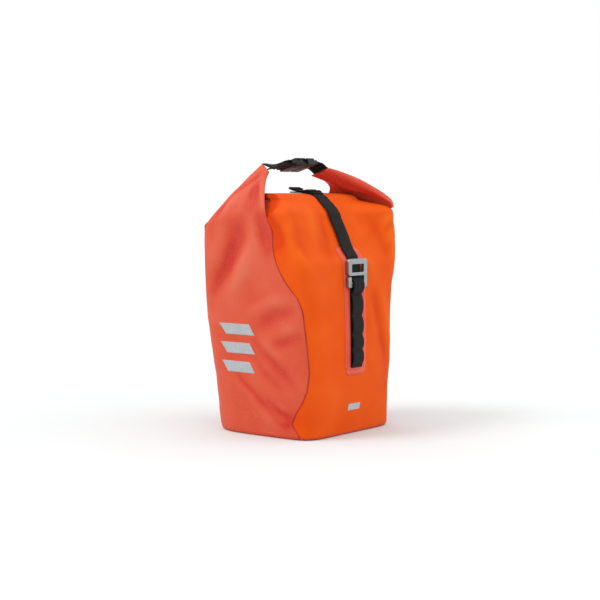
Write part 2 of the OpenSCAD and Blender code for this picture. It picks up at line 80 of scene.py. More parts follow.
def make_studio():
    bpy.context.scene.view_settings.view_transform = "Standard"
    world = bpy.data.worlds.new("studio")
    world.use_nodes = True
    back = world.node_tree.nodes["Background"]
    back.inputs["Color"].default_value = (1, 1, 1, 1)
    back.inputs["Strength"].default_value = 1.0
    bpy.context.scene.world = world
    sun("key", (-1.3, 0.9, 1.8), 1.05, 24)
    sun("front_fill", (0.9, -2.0, 1.0), 0.45, 60)
    sun("top", (0.1, 0.2, 2.0), 0.45, 70)
    mesh = bpy.data.meshes.new("floor")
    r = 9.0
    mesh.from_pydata([(-r, -r, 0), (r, -r, 0), (r, r, 0), (-r, r, 0)], [], [(0, 1, 2, 3)])
    floor = bpy.data.objects.new("floor", mesh)
    bpy.context.scene.collection.objects.link(floor)
    mat = bpy.data.materials.new("floor")
    mat.use_nodes = True
    shader = mat.node_tree.nodes["Principled BSDF"]
    shader.inputs["Base Color"].default_value = (0.70, 0.72, 0.72, 1)
    shader.inputs["Roughness"].default_value = 0.9
    shader.inputs["Specular IOR Level"].default_value = 0.0
    mesh.materials.append(mat)


# ---------------------------------------------------------------- materials

def linear(rgb):
    """sRGB 0-255 to linear 0-1."""
    return tuple(((c / 255) / 12.92 if c / 255 <= 0.04045 else ((c / 255 + 0.055) / 1.055) ** 2.4)
                 for c in rgb)


class Nodes:
    """A small helper that adds and links shader nodes."""

    def __init__(self, name):
        self.mat = bpy.data.materials.new(name)
        self.mat.use_nodes = True
        self.tree = self.mat.node_tree
        self.shader = self.tree.nodes["Principled BSDF"]

    def add(self, kind, **values):
        node = self.tree.nodes.new(kind)
        for key, value in values.items():
            if hasattr(node, key):
                setattr(node, key, value)
            else:
                node.inputs[key.replace("_", " ")].default_value = value
        return node

    def link(self, a, b):
        self.tree.links.new(a, b)

    def math(self, operation, a, b=0.0):
        node = self.add("ShaderNodeMath", operation=operation)
        for k, v in enumerate((a, b)):
            if isinstance(v, (int, float)):
                node.inputs[k].default_value = v
            else:
                self.link(v, node.inputs[k])
        return node.outputs[0]

    def mix(self, factor, a, b, blend="MIX"):
        node = self.add("ShaderNodeMix", data_type="RGBA", blend_type=blend)
        for k, v in ((0, factor), (6, a), (7, b)):
            if isinstance(v, (int, float)):
                node.inputs[k].default_value = v
            elif isinstance(v, tuple):
                node.inputs[k].default_value = (*v, 1.0)[:4]
            else:
                self.link(v, node.inputs[k])
        return node.outputs[2]

    def ramp(self, value, low, high):
        node = self.add("ShaderNodeMapRange")
        self.link(value, node.inputs["Value"])
        node.inputs["From Min"].default_value = low
        node.inputs["From Max"].default_value = high
        return node.outputs["Result"]

    def rough(self, value, low, high):
        node = self.add("ShaderNodeMapRange")
        self.link(value, node.inputs["Value"])
        node.inputs["To Min"].default_value = low
        node.inputs["To Max"].default_value = high
        self.link(node.outputs["Result"], self.shader.inputs["Roughness"])

    def bump(self, height, strength, distance, after=None):
        node = self.add("ShaderNodeBump", Strength=strength, Distance=distance)
        self.link(height, node.inputs["Height"])
        if after is not None:
            self.link(after, node.inputs["Normal"])
        return node.outputs["Normal"]

    def set(self, **values):
        for key, value in values.items():
            self.shader.inputs[key.replace("_", " ")].default_value = value


def cloth_coordinates(n, turn=0.0, pitch=1.0):
    """Threads along and across the cloth, in turns of 2 pi per thread, from the UV map in metres."""
    uv = n.add("ShaderNodeUVMap", uv_map="cloth")
    turned = n.add("ShaderNodeVectorRotate", rotation_type="Z_AXIS", Angle=turn)
    n.link(uv.outputs["UV"], turned.inputs["Vector"])
    split = n.add("ShaderNodeSeparateXYZ")
    n.link(turned.outputs["Vector"], split.inputs["Vector"])
    k = 2 * math.pi / (pitch * MM)
    return (n.math("SINE", n.math("MULTIPLY", split.outputs["X"], k)),
            n.math("SINE", n.math("MULTIPLY", split.outputs["Y"], k)))


def object_noise(n, scale, detail=3.0, roughness=0.55):
    coord = n.add("ShaderNodeTexCoord")
    tex = n.add("ShaderNodeTexNoise", Scale=scale, Detail=detail, Roughness=roughness)
    n.link(coord.outputs["Object"], tex.inputs["Vector"])
    return tex.outputs["Fac"]


def fold_painted_shade(n, base, valley_shade_colour, light):
    """Base colour with painted shade in the valleys of the folds, more saturated there, and a painted
    highlight, paler, on their ridges.
    """
    fold = n.add("ShaderNodeAttribute", attribute_name="fold").outputs["Fac"]
    # painted shade below the plain 0.5 of the fold attribute, painted highlight above it
    valley_shade = n.ramp(fold, 0.5, 0.0)
    ridge_highlight = n.ramp(fold, 0.5, 1.0)
    return n.mix(ridge_highlight, n.mix(valley_shade, base, valley_shade_colour), light)


def make_orange():
    n = Nodes("orange_weave")
    # painted fold shade: the second colour is the painted shade of the fold valleys, the third the painted
    # highlight of the ridges
    base = fold_painted_shade(n, linear((227, 84, 10)), linear((208, 58, 4)), linear((236, 104, 26)))
    tone = n.ramp(object_noise(n, 9.0), 0.3, 0.7)
    base = n.mix(n.math("MULTIPLY", tone, 0.25), base, linear((234, 103, 36)))
    warp, weft = cloth_coordinates(n, turn=math.radians(38), pitch=2.1)
    weave = n.math("MULTIPLY", warp, weft)
    rib = n.math("ADD", n.math("MULTIPLY", weave, 0.5), n.math("MULTIPLY", weft, 0.35))
    dark = n.ramp(rib, -0.9, 0.5)
    base = n.mix(n.math("MULTIPLY", n.math("SUBTRACT", 1.0, dark), 0.40), base, linear((194, 56, 4)))
    n.link(base, n.shader.inputs["Base Color"])
    fine = object_noise(n, 700.0, 2.0)
    normal = n.bump(fine, 0.10, 0.0004)
    normal = n.bump(rib, 0.45, 0.00030, normal)
    n.link(normal, n.shader.inputs["Normal"])
    n.rough(object_noise(n, 30.0), 0.52, 0.68)
    n.set(Specular_IOR_Level=0.07)
    return n.mat


def make_coral(name, base, valley_shade_colour, light, rough_low, rough_high, grid=0.95, coat=0.0):
    n = Nodes(name)
    # painted shade in the fold valleys from the deep colour, painted highlight on the ridges from the light
    # colour
    colour = fold_painted_shade(n, linear(base), linear(valley_shade_colour), linear(light))
    cloud = n.ramp(object_noise(n, 14.0, 4.0), 0.35, 0.68)
    colour = n.mix(n.math("MULTIPLY", cloud, 0.30), colour, linear(light))
    speck = n.ramp(object_noise(n, 420.0, 3.0), 0.45, 0.7)
    colour = n.mix(n.math("MULTIPLY", speck, 0.20), colour, linear(light))
    warp, weft = cloth_coordinates(n, pitch=grid)
    net = n.math("MAXIMUM", warp, weft)
    colour = n.mix(n.math("MULTIPLY", n.ramp(net, 0.6, 1.0), 0.12), colour, linear(light))
    scuff = n.ramp(object_noise(n, 55.0, 6.0, 0.75), 0.63, 0.72)
    colour = n.mix(n.math("MULTIPLY", scuff, 0.18), colour, linear((224, 140, 120)))
    n.link(colour, n.shader.inputs["Base Color"])
    normal = n.bump(object_noise(n, 160.0, 4.0), 0.12, 0.0008)
    normal = n.bump(net, 0.22, 0.00016, normal)
    n.link(normal, n.shader.inputs["Normal"])
    n.rough(object_noise(n, 40.0, 4.0), rough_low, rough_high)
    n.set(Specular_IOR_Level=0.22, Coat_Weight=coat, Coat_Roughness=0.35)
    return n.mat


def make_webbing():
    n = Nodes("black_webbing")
    warp, weft = cloth_coordinates(n, pitch=1.7)
    fine_warp, fine_weft = cloth_coordinates(n, turn=math.radians(45), pitch=0.9)
    cell = n.math("ADD", n.math("MULTIPLY", n.math("MULTIPLY", warp, weft), 0.6),
                  n.math("MULTIPLY", fine_warp, 0.25))
    shade = n.ramp(cell, -0.8, 0.8)
    colour = n.mix(shade, linear((10, 9, 9)), linear((30, 27, 27)))
    fuzz = n.ramp(object_noise(n, 260.0, 4.0), 0.5, 0.75)
    colour = n.mix(n.math("MULTIPLY", fuzz, 0.35), colour, linear((40, 37, 36)))
    n.link(colour, n.shader.inputs["Base Color"])
    n.link(n.bump(cell, 0.55, 0.00035), n.shader.inputs["Normal"])
    n.set(Roughness=0.7, Sheen_Weight=0.02, Specular_IOR_Level=0.15)
    return n.mat


def make_plastic(name, colour, low, high, grain=900.0):
    n = Nodes(name)
    cloud = n.ramp(object_noise(n, 60.0, 5.0), 0.35, 0.7)
    tone = n.mix(cloud, linear(colour), linear(tuple(min(255, c * 1.25 + 6) for c in colour)))
    n.link(tone, n.shader.inputs["Base Color"])
    n.link(n.bump(object_noise(n, grain, 3.0), 0.18, 0.0003), n.shader.inputs["Normal"])
    n.rough(object_noise(n, 120.0, 5.0), low, high)
    n.set(Specular_IOR_Level=0.3)
    return n.mat


def make_metal(name, colour, low, high, scratch=1.0):
    n = Nodes(name)
    coord = n.add("ShaderNodeTexCoord")
    mapping = n.add("ShaderNodeMapping")
    mapping.inputs["Scale"].default_value = (40, 40, 900)
    n.link(coord.outputs["Object"], mapping.inputs["Vector"])
    brushed = n.add("ShaderNodeTexNoise", Scale=2.0, Detail=5.0)
    n.link(mapping.outputs["Vector"], brushed.inputs["Vector"])
    tone = n.mix(n.ramp(object_noise(n, 80.0, 4.0), 0.3, 0.7), linear(colour),
                 linear(tuple(min(255, c * 1.08) for c in colour)))
    n.link(tone, n.shader.inputs["Base Color"])
    n.link(n.bump(brushed.outputs["Fac"], 0.08 * scratch, 0.0002), n.shader.inputs["Normal"])
    n.rough(brushed.outputs["Fac"], low, high)
    n.set(Metallic=1.0)
    return n.mat


def make_reflective():
    n = Nodes("reflective_film")
    beads = n.add("ShaderNodeTexVoronoi", Scale=900.0)
    coord = n.add("ShaderNodeTexCoord")
    n.link(coord.outputs["Object"], beads.inputs["Vector"])
    sparkle = n.ramp(beads.outputs["Distance"], 0.0, 0.8)
    tone = n.mix(sparkle, linear((196, 199, 202)), linear((160, 163, 166)))
    worn = n.ramp(object_noise(n, 70.0, 5.0), 0.55, 0.75)
    tone = n.mix(n.math("MULTIPLY", worn, 0.3), tone, linear((150, 150, 152)))
    n.link(tone, n.shader.inputs["Base Color"])
    n.link(n.bump(beads.outputs["Distance"], 0.15, 0.0002), n.shader.inputs["Normal"])
    n.set(Metallic=0.35, Roughness=0.45)
    return n.mat


# ---------------------------------------------------------------- the body's surface, in mm

HALF_W = ([0, 60, 120, 200, 230], [100, 103, 105, 108, 109])
FRONT = ([0, 60, 120, 190, 238], [94, 96, 97, 95, 93])
FRONT_SQUARE = ([0, 60, 150, 205, 235], [8, 7, 7.5, 10, 17])
BACK_SQUARE = ([0, 50, 80, 115, 150, 207], [3.2, 3.8, 4.3, 5.5, 7, 10])
SEAM = ([6, 22, 35, 53, 67, 91, 138, 175, 192, 209, 226, 238, 256, 280, 300, 320],
        [52.5, 57.6, 54.9, 50.1, 47.7, 46.2, 48.3, 50.4, 53.4, 59.8, 65, 67.7, 69.1, 71, 80, 84])
PULL = ([238, 252, 279, 300], [0, 12, 24, 35.5])
RISE_LEFT = ([0, 30, 60, 80, 100, 132, 180], [0, 0, 1, 0, -3, -17, -10])
RISE_RIGHT = ([0, 30, 44, 52, 62, 75, 84, 100, 132, 180], [0, 1, 4, 7, 5, 2, 0, 0, -10, -10])
BACK_Y, BASE_R, SHOULDER_Z, NECK_Z = 92.0, 6.0, 300.0, 323.0
BACK_SEAM = 132.0
CLOTH = 1.2
HEM = -0.42


def table(x, data, soft=0.0):
    """A value read from a table, averaged over a short span so that it has no kinks."""
    if soft == 0:
        return np.interp(x, data[0], data[1])
    return sum(np.interp(x + soft * k, data[0], data[1]) for k in (-1.5, -0.9, -0.3, 0.3, 0.9, 1.5)) / 6


def folded(t):
    return np.abs((t + 180.0) % 360.0 - 180.0)


def plan(t, z, cut=0.0):
    c, s = np.abs(np.cos(np.radians(t))), np.abs(np.sin(np.radians(t)))
    a = table(z, HALF_W, 12) - cut
    bf, nf = table(z, FRONT, 12) - cut, table(z, FRONT_SQUARE, 8)
    bb, nb = BACK_Y + 4 - cut, table(z, BACK_SQUARE)
    front = ((s / a) ** nf + (c / bf) ** nf) ** (-1 / nf)
    back = np.minimum(((s / a) ** nb + (c / bb) ** nb) ** (-1 / nb),
                      (BACK_Y - cut) / np.maximum(c, 1e-3))
    return np.where(folded(t) <= 90, front, back)


def polar(t, r, z):
    return np.stack([r * np.sin(np.radians(t)), -r * np.cos(np.radians(t)), z + 0 * t], -1)


def wall(t, h):
    turn = folded(t)
    right = ((t + 180.0) % 360.0 - 180.0) > 0
    rise_to = np.where(right, table(turn, RISE_RIGHT, 4), table(turn, RISE_LEFT, 6))
    weight = np.where(right, 1 - np.minimum(1, turn / 52.0) ** 2.6, 1 - np.minimum(1, turn / 88.0) ** 2.6)
    weight = weight * (1 + 0.6 * weight - 0.6 * weight ** 2)
    pull = weight * table(h, PULL, 4)
    rise = np.clip((h - 238.0) / 62.0, 0, 1) ** 1.3 * rise_to
    p = polar(t, plan(t, h), h + rise)
    p[..., 1] *= 1 - pull / table(h, FRONT)
    return p


def neck(t):
    p = polar(t, plan(t, SHOULDER_Z + 0 * t), NECK_Z)
    p[..., 0] *= 88.0 / 109.0
    p[..., 1] = -13.0 + p[..., 1] * 27.0 / 95.0
    return p


def bezier(points, k):
    """A Bezier curve of any order from arrays of control points."""
    while len(points) > 1:
        points = [a * (1 - k) + b * k for a, b in zip(points[:-1], points[1:])]
    return points[0]


def up(p, dx=0.0, dy=0.0, dz=0.0):
    return p + np.stack([dx + 0 * p[..., 0], dy + 0 * p[..., 0], dz + 0 * p[..., 0]], -1)


def skin(t, s):
    """The outer skin at t degrees round from the front. s runs -1 to 0 round the bottom edge,
    0 to 1 up the wall, 1 to 2 over the shoulder, and 2 to 3.6 over the roll."""
    t, s = np.broadcast_arrays(np.asarray(t, float), np.asarray(s, float))
    low = np.clip(s, -1, 0)
    edge = polar(t, plan(t, 0 * t, BASE_R * (1 - np.cos(np.pi / 2 * low))),
                 BASE_R * (1 + np.sin(np.pi / 2 * low)))
    mid = wall(t, BASE_R + np.clip(s, 0, 1) * (SHOULDER_Z - BASE_R))
    a, n = wall(t, SHOULDER_Z + 0 * t), neck(t)
    lift = 9 + 4 * np.clip((folded(t) - 35) / 25, 0, 1)
    dome = bezier([a, up(a, dy=3, dz=lift), up(n, dy=-4, dz=-5), n], np.clip(s - 1, 0, 1)[..., None])
    side = np.clip(folded(t) / 70, 0, 1)
    end = n * 1.0
    end[..., 0] *= 0.975
    end[..., 1] = 12.0
    end[..., 2] = 331.5 - 1.5 * side
    over = bezier([n, up(n, dy=4, dz=5.0), up(n, dy=14, dz=11), up(end, dy=-12, dz=0.5), end],
                  np.clip(s - 2, 0, 1)[..., None])
    tuck = end * 1.0
    tuck[..., 1] = 13.5
    tuck[..., 2] = 318.5
    curl = bezier([end, up(end, dy=8.0), up(tuck, dy=6.0, dz=1.5), tuck],
                  np.clip((s - 3) / 0.6, 0, 1)[..., None])
    out = np.where((s < 0)[..., None], edge, mid)
    out = np.where((s > 1)[..., None], dome, out)
    out = np.where((s > 2)[..., None], over, out)
    return np.where((s > 3)[..., None], curl, out)


def outward(t, s, top=3.6):
    d = 0.004
    across = skin(t + 0.8, s) - skin(t - 0.8, s)
    along = skin(t, np.minimum(top, s + d)) - skin(t, np.maximum(-1, s - d))
    n = np.cross(across, along)
    return n / np.maximum(np.linalg.norm(n, axis=-1, keepdims=True), 1e-9)


# Folds: (depth in mm, width in mm, the points it runs through). Negative is a valley.
FOLDS = [
    # the long soft fold of the left side, from the ear down to the back
    (-4.6, 10, [(-88, -2, 345), (-97, 2, 325), (-106, 7, 305), (-108, 24, 265), (-107, 51, 222),
                (-105, 66, 196)]),
    (2.6, 12, [(-98, -6, 315), (-108, -6, 280), (-108, 2, 250), (-107, 22, 215), (-106, 40, 190)]),
    (2.2, 12, [(-96, 40, 312), (-107, 55, 270), (-106, 70, 235)]),
    (-1.6, 8, [(-103, 70, 288), (-106, 62, 262), (-107, 50, 250)]),
    (-2.6, 6, [(-97, -10, 301), (-109, -24, 276), (-108, -28, 245)]),
    (1.8, 5, [(-98, -4, 303), (-109, -10, 276), (-109, -14, 255)]),
    (-9.0, 13, [(-110, -16, 312), (-109, -17, 301), (-107, -30, 284), (-105, -46, 268)]),
    (-9.0, 13, [(-109, -17, 305), (-100, -20, 312), (-90, -22, 318)]),
    # near the seam, half way up
    (-2.8, 9, [(-106, -66, 172), (-107, -42, 166), (-107, -16, 152)]),
    (1.6, 8, [(-106, -60, 190), (-107, -30, 185), (-107, 2, 170)]),
    (-2.2, 7, [(-104, -76, 140), (-106, -56, 131), (-106, -38, 124)]),
    (1.4, 6, [(-104, -72, 152), (-106, -48, 146)]),
    (-1.8, 8, [(-106, -5, 130), (-105, -40, 96), (-103, -70, 74)]),
    (1.6, 8, [(-106, -18, 132), (-105, -50, 106)]),
    (-1.4, 7, [(-105, 10, 120), (-105, -20, 88), (-104, -48, 66)]),
    # round the dip of the seam, near the base
    (-2.6, 6, [(-104, -28, 44), (-104, -48, 34), (-103, -66, 26)]),
    (1.6, 5, [(-104, -36, 46), (-104, -58, 40)]),
    (-2.0, 4, [(-104, -48, 18), (-103, -62, 19)]),
    (-1.7, 4, [(-104, 26, 81), (-104, -5, 52), (-103, -51, 14)]),
    (1.0, 7, [(-104, 30, 72), (-104, 0, 44), (-103, -36, 14)]),
    # the front: a long diagonal on the right and softer ones near the strap
    (-2.4, 10, [(50, -97, 186), (64, -97, 135), (80, -95, 84)]),
    (1.6, 10, [(66, -96, 190), (80, -95, 140), (92, -88, 96)]),
    (-1.3, 8, [(70, -96, 75), (82, -94, 50)]),
    (1.2, 12, [(20, -88, 262), (45, -92, 226), (70, -94, 190)]),
    (-1.6, 9, [(-93, -62, 305), (-99, -74, 272), (-92, -88, 245)]),
    (1.6, 8, [(-97, -44, 306), (-104, -62, 280), (-103, -76, 250)]),
    (-1.4, 8, [(-20, -52, 312), (-34, -74, 276), (-42, -88, 250)]),
    (1.5, 10, [(-48, -50, 312), (-62, -78, 280), (-66, -91, 246)]),
    (-2.0, 5, [(104, -84, 290), (88, -86, 276)]),
    (1.4, 5, [(104, -84, 300), (86, -82, 288)]),
    (-1.8, 6, [(103, -84, 262), (84, -91, 248)]),
    (-1.5, 9, [(66, -72, 300), (78, -84, 268), (88, -91, 236)]),
    (1.2, 9, [(34, -60, 304), (48, -78, 272)]),
    (3.2, 16, [(106, -78, 296), (107, -84, 262), (106, -86, 230)]),
    # the right side
    (-3.6, 10, [(100, 10, 310), (108, 20, 275), (108, 44, 230), (106, 64, 196)]),
    (2.2, 11, [(104, -8, 300), (108, -2, 260), (107, 18, 220)]),
    (-2.4, 8, [(106, -70, 180), (107, -36, 166), (107, -4, 150)]),
    (1.8, 8, [(106, -60, 196), (107, -24, 186)]),
    (-2.2, 8, [(105, -74, 120), (106, -44, 102), (105, -6, 92)]),
    (-1.8, 7, [(104, 44, 110), (105, 8, 70), (104, -40, 44)]),
    (1.5, 7, [(104, 56, 90), (104, 20, 52)]),
    (-2.0, 5, [(103, -68, 24), (104, -44, 36), (104, -20, 40)]),
    # the back and its slope up to the roll
    (-2.4, 10, [(-60, 90, 292), (-40, 60, 306), (-30, 30, 316)]),
    (-2.4, 10, [(66, 90, 290), (44, 62, 306), (36, 32, 316)]),
    (2.2, 12, [(-86, 84, 292), (-70, 50, 308), (-62, 24, 318)]),
    (2.0, 12, [(10, 88, 294), (6, 50, 312)]),
    (-1.6, 9, [(-86, 91, 200), (-70, 92, 150), (-40, 92, 120)]),
    (-1.6, 9, [(86, 91, 190), (62, 92, 130), (30, 92, 112)]),
    (1.2, 10, [(-20, 92, 190), (10, 92, 150)]),
]


def distance_to(points, line):
    """The distance of each point to a line of joined segments, and how far along it, 0 to 1."""
    best = np.full(points.shape[:-1], 1e9)
    along = np.zeros(points.shape[:-1])
    pieces = len(line) - 1
    for k in range(pieces):
        a, b = np.array(line[k], float), np.array(line[k + 1], float)
        ab = b - a
        f = np.clip(((points - a) @ ab) / (ab @ ab), 0, 1)
        d = np.linalg.norm(points - (a + f[..., None] * ab), axis=-1)
        near = d < best
        along = np.where(near, (k + f) / pieces, along)
        best = np.minimum(best, d)
    return best, along


def smooth_noise(points, size, seed):
    """Soft noise of about -1 to 1 with bumps of the given size in mm."""
    flat = points.reshape(-1, 3)
    out = np.empty(len(flat))
    for k, p in enumerate(flat):
        out[k] = noise.noise(Vector((p[0] / size + seed, p[1] / size - seed, p[2] / size)))
    return out.reshape(points.shape[:-1])


def relief(points):
    """How far the cloth stands out of the plain skin, in mm, from its folds and slackness."""
    out = np.zeros(points.shape[:-1])
    warp = points + 3.0 * np.stack([smooth_noise(points, 30.0, k) for k in (3.1, 7.7, 11.3)], -1)
    for depth, width, line in FOLDS:
        d, along = distance_to(warp, line)
        taper = np.sin(np.pi * np.clip(0.12 + 0.8 * along, 0, 1)) ** 0.7
        out += depth * taper * np.exp(-(d / width) ** 2)
    out += 1.1 * smooth_noise(points, 48.0, 21.5) + 0.5 * smooth_noise(points, 19.0, 5.2)
    strapped = (points[..., 1] < -40) & (points[..., 2] > 70)
    calm = np.clip((np.abs(points[..., 0]) - 18) / 16, 0, 1)
    out *= np.where(strapped, calm * calm * (3 - 2 * calm), 1.0)
    return out * np.clip(points[..., 2] / 14.0, 0, 1)


def surface(t, s, out=0.0):
    """Points of the slack, folded cloth, and the fold depth there."""
    p, n = skin(t, s), outward(t, s)
    r = relief(p)
    r = np.where(s > 2.6, r * np.clip((3.2 - s) / 0.6, 0, 1), r)
    return p + n * (r + out)[..., None], r


# ---------------------------------------------------------------- mesh building

def new_object(name, verts, faces, uv=None, fold=None, smooth=True):
    """A mesh object from points in mm. uv holds each point's place on the flat cloth, in metres."""
    mesh = bpy.data.meshes.new(name)
    mesh.from_pydata([tuple(float(c) * MM for c in v) for v in verts], [], faces)
    mesh.validate()
    if uv is not None:
        layer = mesh.uv_layers.new(name="cloth")
        loops = np.array([lp.vertex_index for lp in mesh.loops])
        layer.data.foreach_set("uv", np.asarray(uv, float)[loops].ravel())
    # the fold attribute carries the painted fold shade and highlight, 0.5 where none is painted
    attribute = mesh.attributes.new("fold", "FLOAT", "POINT")
    shade = np.full(len(mesh.vertices), 0.5) if fold is None else np.asarray(fold, float)
    attribute.data.foreach_set("value", shade)
    if smooth:
        mesh.polygons.foreach_set("use_smooth", [True] * len(mesh.polygons))
    obj = bpy.data.objects.new(name, mesh)
    bpy.context.scene.collection.objects.link(obj)
    return obj


def lengths(grid):
    """Cloth coordinates of a grid, in metres, measured along its middle row and column."""
    rows, cols = grid.shape[:2]
    across = np.linalg.norm(np.diff(grid, axis=1), axis=-1)
    along = np.linalg.norm(np.diff(grid, axis=0), axis=-1)
    u = np.concatenate([np.zeros((rows, 1)), np.cumsum(across, 1)], 1)
    u -= u[:, cols // 2][:, None]
    v = np.concatenate([np.zeros((1, cols)), np.cumsum(along, 0)], 0)
    v = np.repeat(v.mean(1)[:, None], cols, 1)
    return np.stack([u, v], -1) * MM


def shade_of(depth):
    # painted shade and highlight mask from a fold depth: 0.5 on plain cloth, lower in valleys, higher on
    # ridges
    return np.clip(0.5 + depth / 4.6, 0, 1)


def grid_faces(rows, cols, start=0, wrap=False):
    faces = []
    last = cols if wrap else cols - 1
    for r in range(rows - 1):
        for c in range(last):
            d = (c + 1) % cols
            faces.append((start + r * cols + c, start + r * cols + d,
                          start + (r + 1) * cols + d, start + (r + 1) * cols + c))
    return faces


def grid_object(name, grid, fold=None, wrap=False):
    rows, cols = grid.shape[:2]
    uv = lengths(grid).reshape(-1, 2)
    shade = None if fold is None else shade_of(fold).ravel()
    return new_object(name, grid.reshape(-1, 3), grid_faces(rows, cols, wrap=wrap), uv, shade)


def thicken(obj, thickness, offset=-1.0):
    mod = obj.modifiers.new("thickness", "SOLIDIFY")
    mod.thickness = thickness * MM
    mod.offset = offset
    mod.use_rim = True
    return obj


def finish_piece(obj, material, body, slot, nodes=()):
    obj.data.materials.clear()
    obj.data.materials.append(material)
    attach(obj, body)
    if nodes:
        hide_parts(*nodes)
    return obj


def ribbon(name, path, width_axis, width, thickness, sway=0.0, seed=0.0):
    """A webbing strap: a flat band with rounded edges that follows a path, in mm."""
    path = np.array(path, float)
    fine = [path[0]]
    for k in range(len(path) - 1):
        p0, p1, p2, p3 = (path[max(0, min(len(path) - 1, k + j))] for j in (-1, 0, 1, 2))
        steps = max(2, int(np.linalg.norm(p2 - p1) / 1.6))
        for j in range(1, steps + 1):
            f = j / steps
            fine.append(0.5 * (2 * p1 + (p2 - p0) * f + (2 * p0 - 5 * p1 + 4 * p2 - p3) * f * f
                               + (3 * p1 - p0 - 3 * p2 + p3) * f ** 3))
    line = np.array(fine)
    run = np.gradient(line, axis=0)
    run /= np.linalg.norm(run, axis=1)[:, None]
    axis = np.array(width_axis, float)
    axis = axis if axis.ndim == 2 else np.repeat(axis[None], len(line), 0)
    if len(axis) != len(line):
        at = np.linspace(0, 1, len(axis))
        axis = np.stack([np.interp(np.linspace(0, 1, len(line)), at, axis[:, k]) for k in range(3)], -1)
    wide = axis - run * (axis * run).sum(1)[:, None]
    wide /= np.linalg.norm(wide, axis=1)[:, None]
    thick = np.cross(wide, run)
    half, r = width / 2, thickness / 2
    ring = [(-half + r, r), (-half * 0.5, r * 1.06), (0, r * 1.08), (half * 0.5, r * 1.06), (half - r, r),
            (half - 0.3 * r, r * 0.7), (half, 0), (half - 0.3 * r, -r * 0.7),
            (half - r, -r), (half * 0.5, -r), (0, -r), (-half * 0.5, -r), (-half + r, -r),
            (-half + 0.3 * r, -r * 0.7), (-half, 0), (-half + 0.3 * r, r * 0.7)]
    verts, uv = [], []
    travel = np.concatenate([[0], np.cumsum(np.linalg.norm(np.diff(line, axis=0), axis=1))])
    for k in range(len(line)):
        wave = sway * math.sin(travel[k] * 0.07 + seed)
        for a, b in ring:
            bow = sway * 0.6 * math.cos(a / half * 2.2 + travel[k] * 0.05 + seed)
            verts.append(line[k] + wide[k] * (a + wave * 0.3) + thick[k] * (b + bow))
            uv.append((a * MM, travel[k] * MM))
    n = len(ring)
    faces = grid_faces(len(line), n, wrap=True)
    faces.append(tuple(range(n)))
    faces.append(tuple(reversed(range((len(line) - 1) * n, len(line) * n))))
    obj = new_object(name, verts, faces, uv)
    bm = bmesh.new()
    bm.from_mesh(obj.data)
    bmesh.ops.recalc_face_normals(bm, faces=bm.faces)
    bm.to_mesh(obj.data)
    bm.free()
    return obj


def polished(node, material, body, radius=0.35, segments=2):
    """A hard piece with its edges rounded, in place of its plain CAD node."""
    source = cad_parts[node]
    mesh = source.data.copy()
    mesh.name = node + "_piece"
    obj = bpy.data.objects.new(node + "_piece", mesh)
    bpy.context.scene.collection.objects.link(obj)
    bm = bmesh.new()
    bm.from_mesh(mesh)
    bmesh.ops.remove_doubles(bm, verts=bm.verts, dist=1e-6)
    bmesh.ops.dissolve_limit(bm, angle_limit=math.radians(1.0), verts=bm.verts, edges=bm.edges)
    bm.to_mesh(mesh)
    bm.free()
    mesh.polygons.foreach_set("use_smooth", [True] * len(mesh.polygons))
    bevel = obj.modifiers.new("round", "BEVEL")
    bevel.width = radius * MM
    bevel.segments = segments
    bevel.limit_method = "ANGLE"
    bevel.angle_limit = math.radians(32)
    bevel.harden_normals = True
    return finish_piece(obj, material, body, node, [node])


# ---------------------------------------------------------------- fabric pieces

def front_skin(material):
    """The orange front, one sheet from the base up over the roll and down behind it."""
    low = np.linspace(HEM, 1, 156)
    s = np.concatenate([low, np.linspace(1, 2, 30)[1:], np.linspace(2, 3, 30)[1:],
                        np.linspace(3, 3.6, 12)[1:]])
    seam = table(BASE_R + np.clip(s, 0, 1) * (SHOULDER_Z - BASE_R), SEAM)
    u = np.linspace(-1, 1, 150)
    spread = np.sign(u) * np.abs(u) ** 0.92
    seam = seam + 6.0 * np.clip((s - 1) * 5, 0, 1)
    t = seam[:, None] * spread[None, :]
    grid, fold = surface(t, np.repeat(s[:, None], len(u), 1))
    obj = thicken(grid_object("front_skin", grid, fold), CLOTH)
    return finish_piece(obj, material, "bag", "front_panel", ["front_panel", "roll_closure"])


def back_skin(material):
    s = np.concatenate([np.linspace(HEM, 1, 116), np.linspace(1, 2, 30)[1:]])
    t = np.linspace(BACK_SEAM, 360 - BACK_SEAM, 110)
    t, s = np.meshgrid(t, s)
    grid, fold = surface(t, s)
    near = (grid[..., 2] < 275) & (np.abs(grid[..., 0]) < 96)
    grid[..., 1] = np.where(near, np.minimum(grid[..., 1], BACK_Y - 0.05), grid[..., 1])
    obj = thicken(grid_object("back_skin", grid, fold), CLOTH)
    return finish_piece(obj, material, "bag", "back_panel", ["back_panel"])


def bottom_skin(material):
    s = np.linspace(-1, -0.34, 9)
    t = np.linspace(-180, 180, 181)[:-1]
    rings = [np.zeros((len(t), 3))]
    for f in (0.3, 0.6, 0.85):
        rings.append(skin(t, -1 + 0 * t) * [f, f, 1])
    for k in s:
        rings.append(surface(t, k + 0 * t, 0.25 if k > -0.6 else 0.0)[0])
    grid = np.stack(rings)
    obj = thicken(grid_object("bottom_skin", grid, wrap=True), CLOTH)
    bm = bmesh.new()
    bm.from_mesh(obj.data)
    bmesh.ops.remove_doubles(bm, verts=bm.verts, dist=1e-7)
    bm.to_mesh(obj.data)
    bm.free()
    return finish_piece(obj, material, "bag", "bottom_panel", ["bottom_panel"])


def closed_section(outer, inner):
    """Rows of points that run along the outer side and back along the inner side."""
    return np.concatenate([outer, inner[:, ::-1]], 1)


